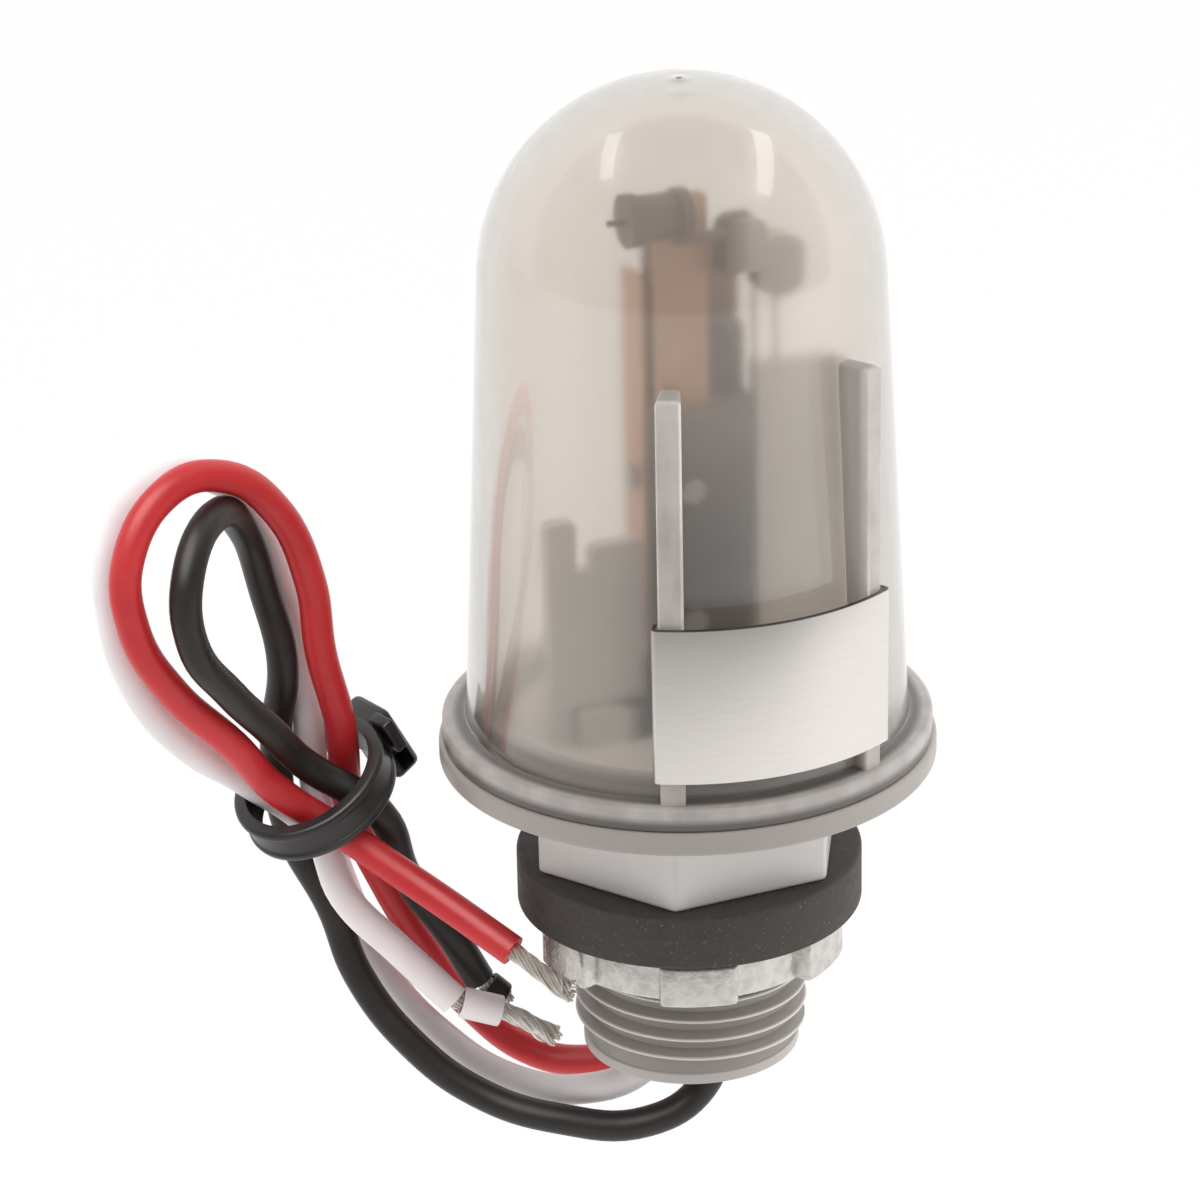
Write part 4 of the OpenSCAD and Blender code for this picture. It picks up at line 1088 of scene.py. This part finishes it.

# %% [markdown]
# ## Satin rails and flange
# The rails and the flange are thick and their tool marks were not polished out, so they look paler and less
# clear than the dome. They are the same moulding, so the cover gets a second material, on the faces that
# stand out past the drafted wall. Masks paint shade into it: on the rails' sides near their roots, on the
# flange at the wall's foot and along its low edge, where the clear plastic shows the shaded gap under it.

# %% Satin rails and flange
RAIL_SIDES, WALL_FOOT, LOW_EDGE = (19.7, 20.4), (19.9, 20.6), (FLOOR_Z + 0.6, FLOOR_Z + 1.3)
satin_plastic, tree, shader = paint("cover_satin", ior=1.46, transmission_weight=0.5, specular_ior_level=0.5)
tone = add_tone(tree, shader, (0.72, 0.695, 0.675), (0.90, 0.87, 0.845), 420.0, stretch=(1, 1, 0.5))
# painted shade on the rails' sides near their roots, inside RAIL_SIDES
recolour(tree, shader, place_mask(tree, *RAIL_SIDES, "Radius"), (0.53, 0.505, 0.485))
# painted shade on the flange at the wall's foot
past_foot = place_mask(tree, *WALL_FOOT, "Radius")
above_flange = place_mask(tree, COVER_TOP + 0.1, COVER_TOP + 0.5, "Height")
recolour(tree, shader, math_node(tree, "MAXIMUM", past_foot, above_flange), (0.27, 0.255, 0.243))
# painted shade of the gap under the flange's low edge
recolour(tree, shader, place_mask(tree, *LOW_EDGE, "Height"), (0.26, 0.242, 0.228))
add_roughness(tree, shader, tone.outputs["Mask"], 0.28, 0.4)
cover.data.materials.append(satin_plastic)
for face in cover.data.polygons:
    past_wall = math.hypot(face.center.x, face.center.y) / MM - wall(DOME_R, face.center.z / MM)
    if past_wall > 0.1 and face.center.z / MM < RAIL_TOP + 1:
        face.material_index = 1
print("satin faces:", sum(face.material_index for face in cover.data.polygons))

# %% [markdown]
# ## Light shield
# A strip of bare sheet, bent round and with a lip behind each rail, that slides up and down to set how much
# light the cell sees. Solidify could thicken a bent strip, but here the section is drawn as a middle line
# that is offset to both sides, so the bends keep the sheet's thickness.

# %% Light shield
SHEET, SHIELD_R, SHIELD_LOW, SHIELD_HIGH = 0.4, 20.95, 34.55, 48.45
LIP_X, LIP_IN, LIP_LEAN = 1.45, 19.65, 0.09
left_lip = Matrix.Rotation(math.radians(-RAIL_ANGLE), 2)
right_lip = Matrix.Rotation(math.radians(RAIL_ANGLE), 2)
left_corner = left_lip @ Vector((-LIP_X, -SHIELD_R))
right_corner = right_lip @ Vector((LIP_X, -SHIELD_R))
half_turn = math.degrees(math.atan2(right_corner.x, -right_corner.y))
line = [tuple(left_lip @ Vector((LIP_LEAN - LIP_X, -LIP_IN))), (*left_corner, 0.35)]
line += arc((0, 0), right_corner.length, -88.5 - half_turn, half_turn - 91.5, 40)
line += [(*right_corner, 0.35), tuple(right_lip @ Vector((LIP_X - LIP_LEAN, -LIP_IN)))]
line = [Vector(p) for p in rounded(line, 5)]
front, back = [], []
for i, here in enumerate(line):
    run = (line[min(i + 1, len(line) - 1)] - line[max(i - 1, 0)]).normalized()
    out = Vector((run.y, -run.x)) * SHEET / 2
    front.append(tuple(here + out))
    back.append(tuple(here - out))
shield = bevel(prism("shield_sheet", front + back[::-1], SHIELD_LOW, SHIELD_HIGH), 0.06, segments=2, angle=50)
print("shield reaches", round(half_turn, 1), "degrees to each side")

# %% [markdown]
# ## Rolled aluminium
# Bare sheet from the roll has fine lines along it, and its top edge shows as a thin line in shade. The lines
# could be a texture; a noise that is stretched along the sheet does the same, in colour and in bump, and a
# mask by height paints that shade along the top edge.

# %% Rolled aluminium
aluminium, tree, shader = paint("shield_aluminium", metallic=1.0)
tone = add_tone(tree, shader, (0.86, 0.82, 0.78), (0.90, 0.86, 0.82), 1200.0, stretch=(0.3, 0.3, 5))
# painted shade: a thin dark line along the shield's top edge
recolour(tree, shader, place_mask(tree, SHIELD_HIGH - 0.03, SHIELD_HIGH - 0.1, "Height"), (0.16, 0.15, 0.14))
add_roughness(tree, shader, tone.outputs["Mask"], 0.32, 0.36)
add_grain(tree, shader, 2200.0, 0.06, 0.00002, stretch=(0.3, 0.3, 4))
dress(shield, aluminium, "shield", "light_shield")

# %% [markdown]
# ## Gasket
# A thick ring of soft black rubber, cut from tube, with scuffs along it and fine pale dust. A modelled scuff
# would never show at this size, so ring and cut are turned, and scuffs and dust are the material's.

# %% Gasket
GASKET_R, GASKET_IN, GASKET_LOW, GASKET_HIGH = 15.2, 10.55, 14.2, 19.2
section = [
    (GASKET_IN, GASKET_LOW), (GASKET_R, GASKET_LOW, 0.3), (GASKET_R, GASKET_HIGH, 0.35),
    (GASKET_IN, GASKET_HIGH),
]
gasket = revolve("gasket_ring", rounded(section), 144, ring=True)
print("gasket:", GASKET_HIGH - GASKET_LOW, "mm thick")

# %% Gasket rubber
rubber, tree, shader = paint("gasket_rubber", specular_ior_level=0.5)
tone = add_tone(tree, shader, (0.046, 0.040, 0.037), (0.066, 0.059, 0.055), 500.0, stretch=(1, 1, 3))
specks = place_group(tree, tone_group, scale=3500.0)
specks.inputs["From"].default_value = 0.74
specks.inputs["To"].default_value = 0.62
recolour(tree, shader, specks.outputs["Mask"], (0.17, 0.155, 0.145))
add_roughness(tree, shader, tone.outputs["Mask"], 0.55, 0.8)
add_grain(tree, shader, 900.0, 0.4, 0.00015, stretch=(1, 1, 2.5))
dress(gasket, rubber, "seal", "gasket")

# %% [markdown]
# ## Locknut
# A die-cast zinc ring with lugs to knock it tight. An array could repeat the lug, but a Geometry Nodes tree
# that sets copies of one lug round the ring has its number as an input.

# %% Lugs in a ring
LUGS, LUG_W, LUG_R, LUG_TURN = 6, 6.8, 13.8, -20
NUT_LOW, NUT_HIGH, NUT_RING_R, NUT_BORE_R = 9.7, 14.2, 12.5, 10.55
lug_tree, source, result = geometry_tree("lugs_in_a_ring", {"Lugs": 6})
links = lug_tree.links
places = lug_tree.nodes.new("GeometryNodeMeshLine")
links.new(source.outputs["Lugs"], places.inputs["Count"])
copies = lug_tree.nodes.new("GeometryNodeInstanceOnPoints")
links.new(places.outputs["Mesh"], copies.inputs["Points"])
links.new(source.outputs["Geometry"], copies.inputs["Instance"])
index = lug_tree.nodes.new("GeometryNodeInputIndex").outputs[0]
step = math_node(lug_tree, "DIVIDE", math.tau, source.outputs["Lugs"])
spin = lug_tree.nodes.new("ShaderNodeCombineXYZ")
links.new(math_node(lug_tree, "MULTIPLY", index, step), spin.inputs["Z"])
links.new(spin.outputs[0], copies.inputs["Rotation"])
places.inputs["Offset"].default_value = (0, 0, 0)
end_tree(lug_tree, source, result, copies.outputs["Instances"])
print("tree:", lug_tree.name, "-", len(lug_tree.nodes), "nodes")

# %% [markdown]
# ## Die-cast zinc
# Zinc out of the die is bright and grainy, and it lies in shade where the nut meets the gasket's overhang. A
# displaced mesh would be heavy, so a coarse bump gives the grain, and a mask by height paints that shade.

# %% Die-cast zinc
zinc, tree, shader = paint("nut_zinc", metallic=1.0)
tone = add_tone(tree, shader, (0.62, 0.595, 0.56), (0.74, 0.71, 0.67), 1000.0, 0.34, 0.6)
# painted shade under the gasket's overhang, along the top of the nut
recolour(tree, shader, place_mask(tree, NUT_HIGH - 0.1, NUT_HIGH - 0.6, "Height"), (0.06, 0.055, 0.05))
add_roughness(tree, shader, tone.outputs["Mask"], 0.34, 0.22)
add_grain(tree, shader, 520.0, 0.75, 0.00022, detail=6.0)
print(zinc.name, "- dark from", NUT_HIGH - 0.6, "mm up")

# %% [markdown]
# ## Ring and lugs
# The lug is drawn once, at the front. Its copies are joined to a turned ring, as they are one casting.

# %% Locknut
LUG_FOOT = 11.5
lug_half = math.degrees(math.asin(LUG_W / 2 / LUG_R))
lug_outline = arc((0, 0), LUG_R, lug_half - 90, -90 - lug_half, 12)
lug_outline = [(LUG_W / 2, -LUG_FOOT)] + lug_outline + [(-LUG_W / 2, -LUG_FOOT)]
lug = bevel(prism("lug", lug_outline, NUT_LOW, NUT_HIGH - 0.6), 0.35, angle=40)
lug.data.transform(Matrix.Rotation(math.radians(LUG_TURN), 4, "Z"))
lug_ring = grow(lug, lug_tree, material=zinc, lugs=LUGS)
section = [
    (NUT_BORE_R, NUT_LOW + 0.3), (NUT_BORE_R + 0.3, NUT_LOW), (NUT_RING_R, NUT_LOW, 0.45),
    (NUT_RING_R, NUT_HIGH, 0.4), (NUT_BORE_R, NUT_HIGH),
]
nut = revolve("nut_ring", rounded(section), 144, ring=True)
combine(nut, lug_ring, "UNION")
dress(nut, zinc, "nut", "locknut")

# %% [markdown]
# ## Inside the cover
# A thermal switch: a grey frame, a dark post, bimetal blades with a small heater, contacts and the light
# cell. They could be modelled anew, but the cover blurs them, so their CAD shapes stay and only their
# finishes are made here. A mask by height paints the shield's shade on the post's foot, and a mask by
# radius lightens the post's flange.

# %% Inner finishes
POST_SHADE, POST_FLANGE, CELL_HOLDER = (49, 61), (9, 7.5), (6.2, 7.2)


def finish(name, dark, light, scale, rough, metal, *cad_names):
    """A finish with an uneven tone and roughness, given to some CAD nodes."""
    owner, tree, shader = paint(name, metallic=metal)
    tone = add_tone(tree, shader, dark, light, scale)
    add_roughness(tree, shader, tone.outputs["Mask"], rough, rough + 0.12)
    add_grain(tree, shader, scale * 6, 0.15, 0.00005)
    for cad_name in cad_names:
        cad_piece = nodes[cad_name]
        cad_piece.data.materials.clear()
        cad_piece.data.materials.append(owner)
    print(name, "on", ", ".join(cad_names))
    return tree, shader


finish("frame_plastic", (0.78, 0.76, 0.74), (0.86, 0.84, 0.82), 80, 0.45, 0.0, "inner_frame")
tree, shader = finish("post_plastic", (0.23, 0.205, 0.19), (0.28, 0.25, 0.235), 80, 0.45, 0.0, "blade_post")
# painted shade: the post's foot, below the shield's top, is near black
recolour(tree, shader, place_mask(tree, *POST_SHADE, "Height"), (0.010, 0.009, 0.008))
recolour(tree, shader, place_mask(tree, *POST_FLANGE, "Radius"), (0.72, 0.70, 0.68))
finish("dark_ceramic", (0.25, 0.20, 0.17), (0.36, 0.295, 0.255), 150, 0.5, 0.0, "heater_resistor")
tree, shader = finish("cell_coating", (0.68, 0.64, 0.61), (0.78, 0.74, 0.71), 150, 0.45, 0.0, "photocell")
recolour(tree, shader, place_mask(tree, *CELL_HOLDER, "Radius"), (0.18, 0.145, 0.125))
finish("bimetal", (0.68, 0.42, 0.29), (0.82, 0.57, 0.42), 120, 0.4, 0.4, "heater_blade", "ambient_blade")
finish("contact_brass", (0.34, 0.25, 0.185), (0.46, 0.35, 0.26), 150, 0.4, 0.4,
       "contact_bracket", "lead_terminals")
finish("contact_silver", (0.66, 0.65, 0.62), (0.8, 0.79, 0.76), 200, 0.28, 1.0,
       "fixed_contact", "moving_contact")
finish("plain_steel", (0.48, 0.48, 0.48), (0.62, 0.62, 0.62), 200, 0.3, 1.0,
       "post_screws", "blade_rivets", "setting_screw")
finish("fine_wire", (0.6, 0.57, 0.52), (0.78, 0.75, 0.7), 300, 0.3, 1.0, "cell_wires")

# %% [markdown]
# ## Sizes
# Before the end, the size of the box round the dressed switch is printed, in millimetres.

# %% Sizes
low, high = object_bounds()
print("visual box", [round(v / MM, 1) for v in high - low], "mm")
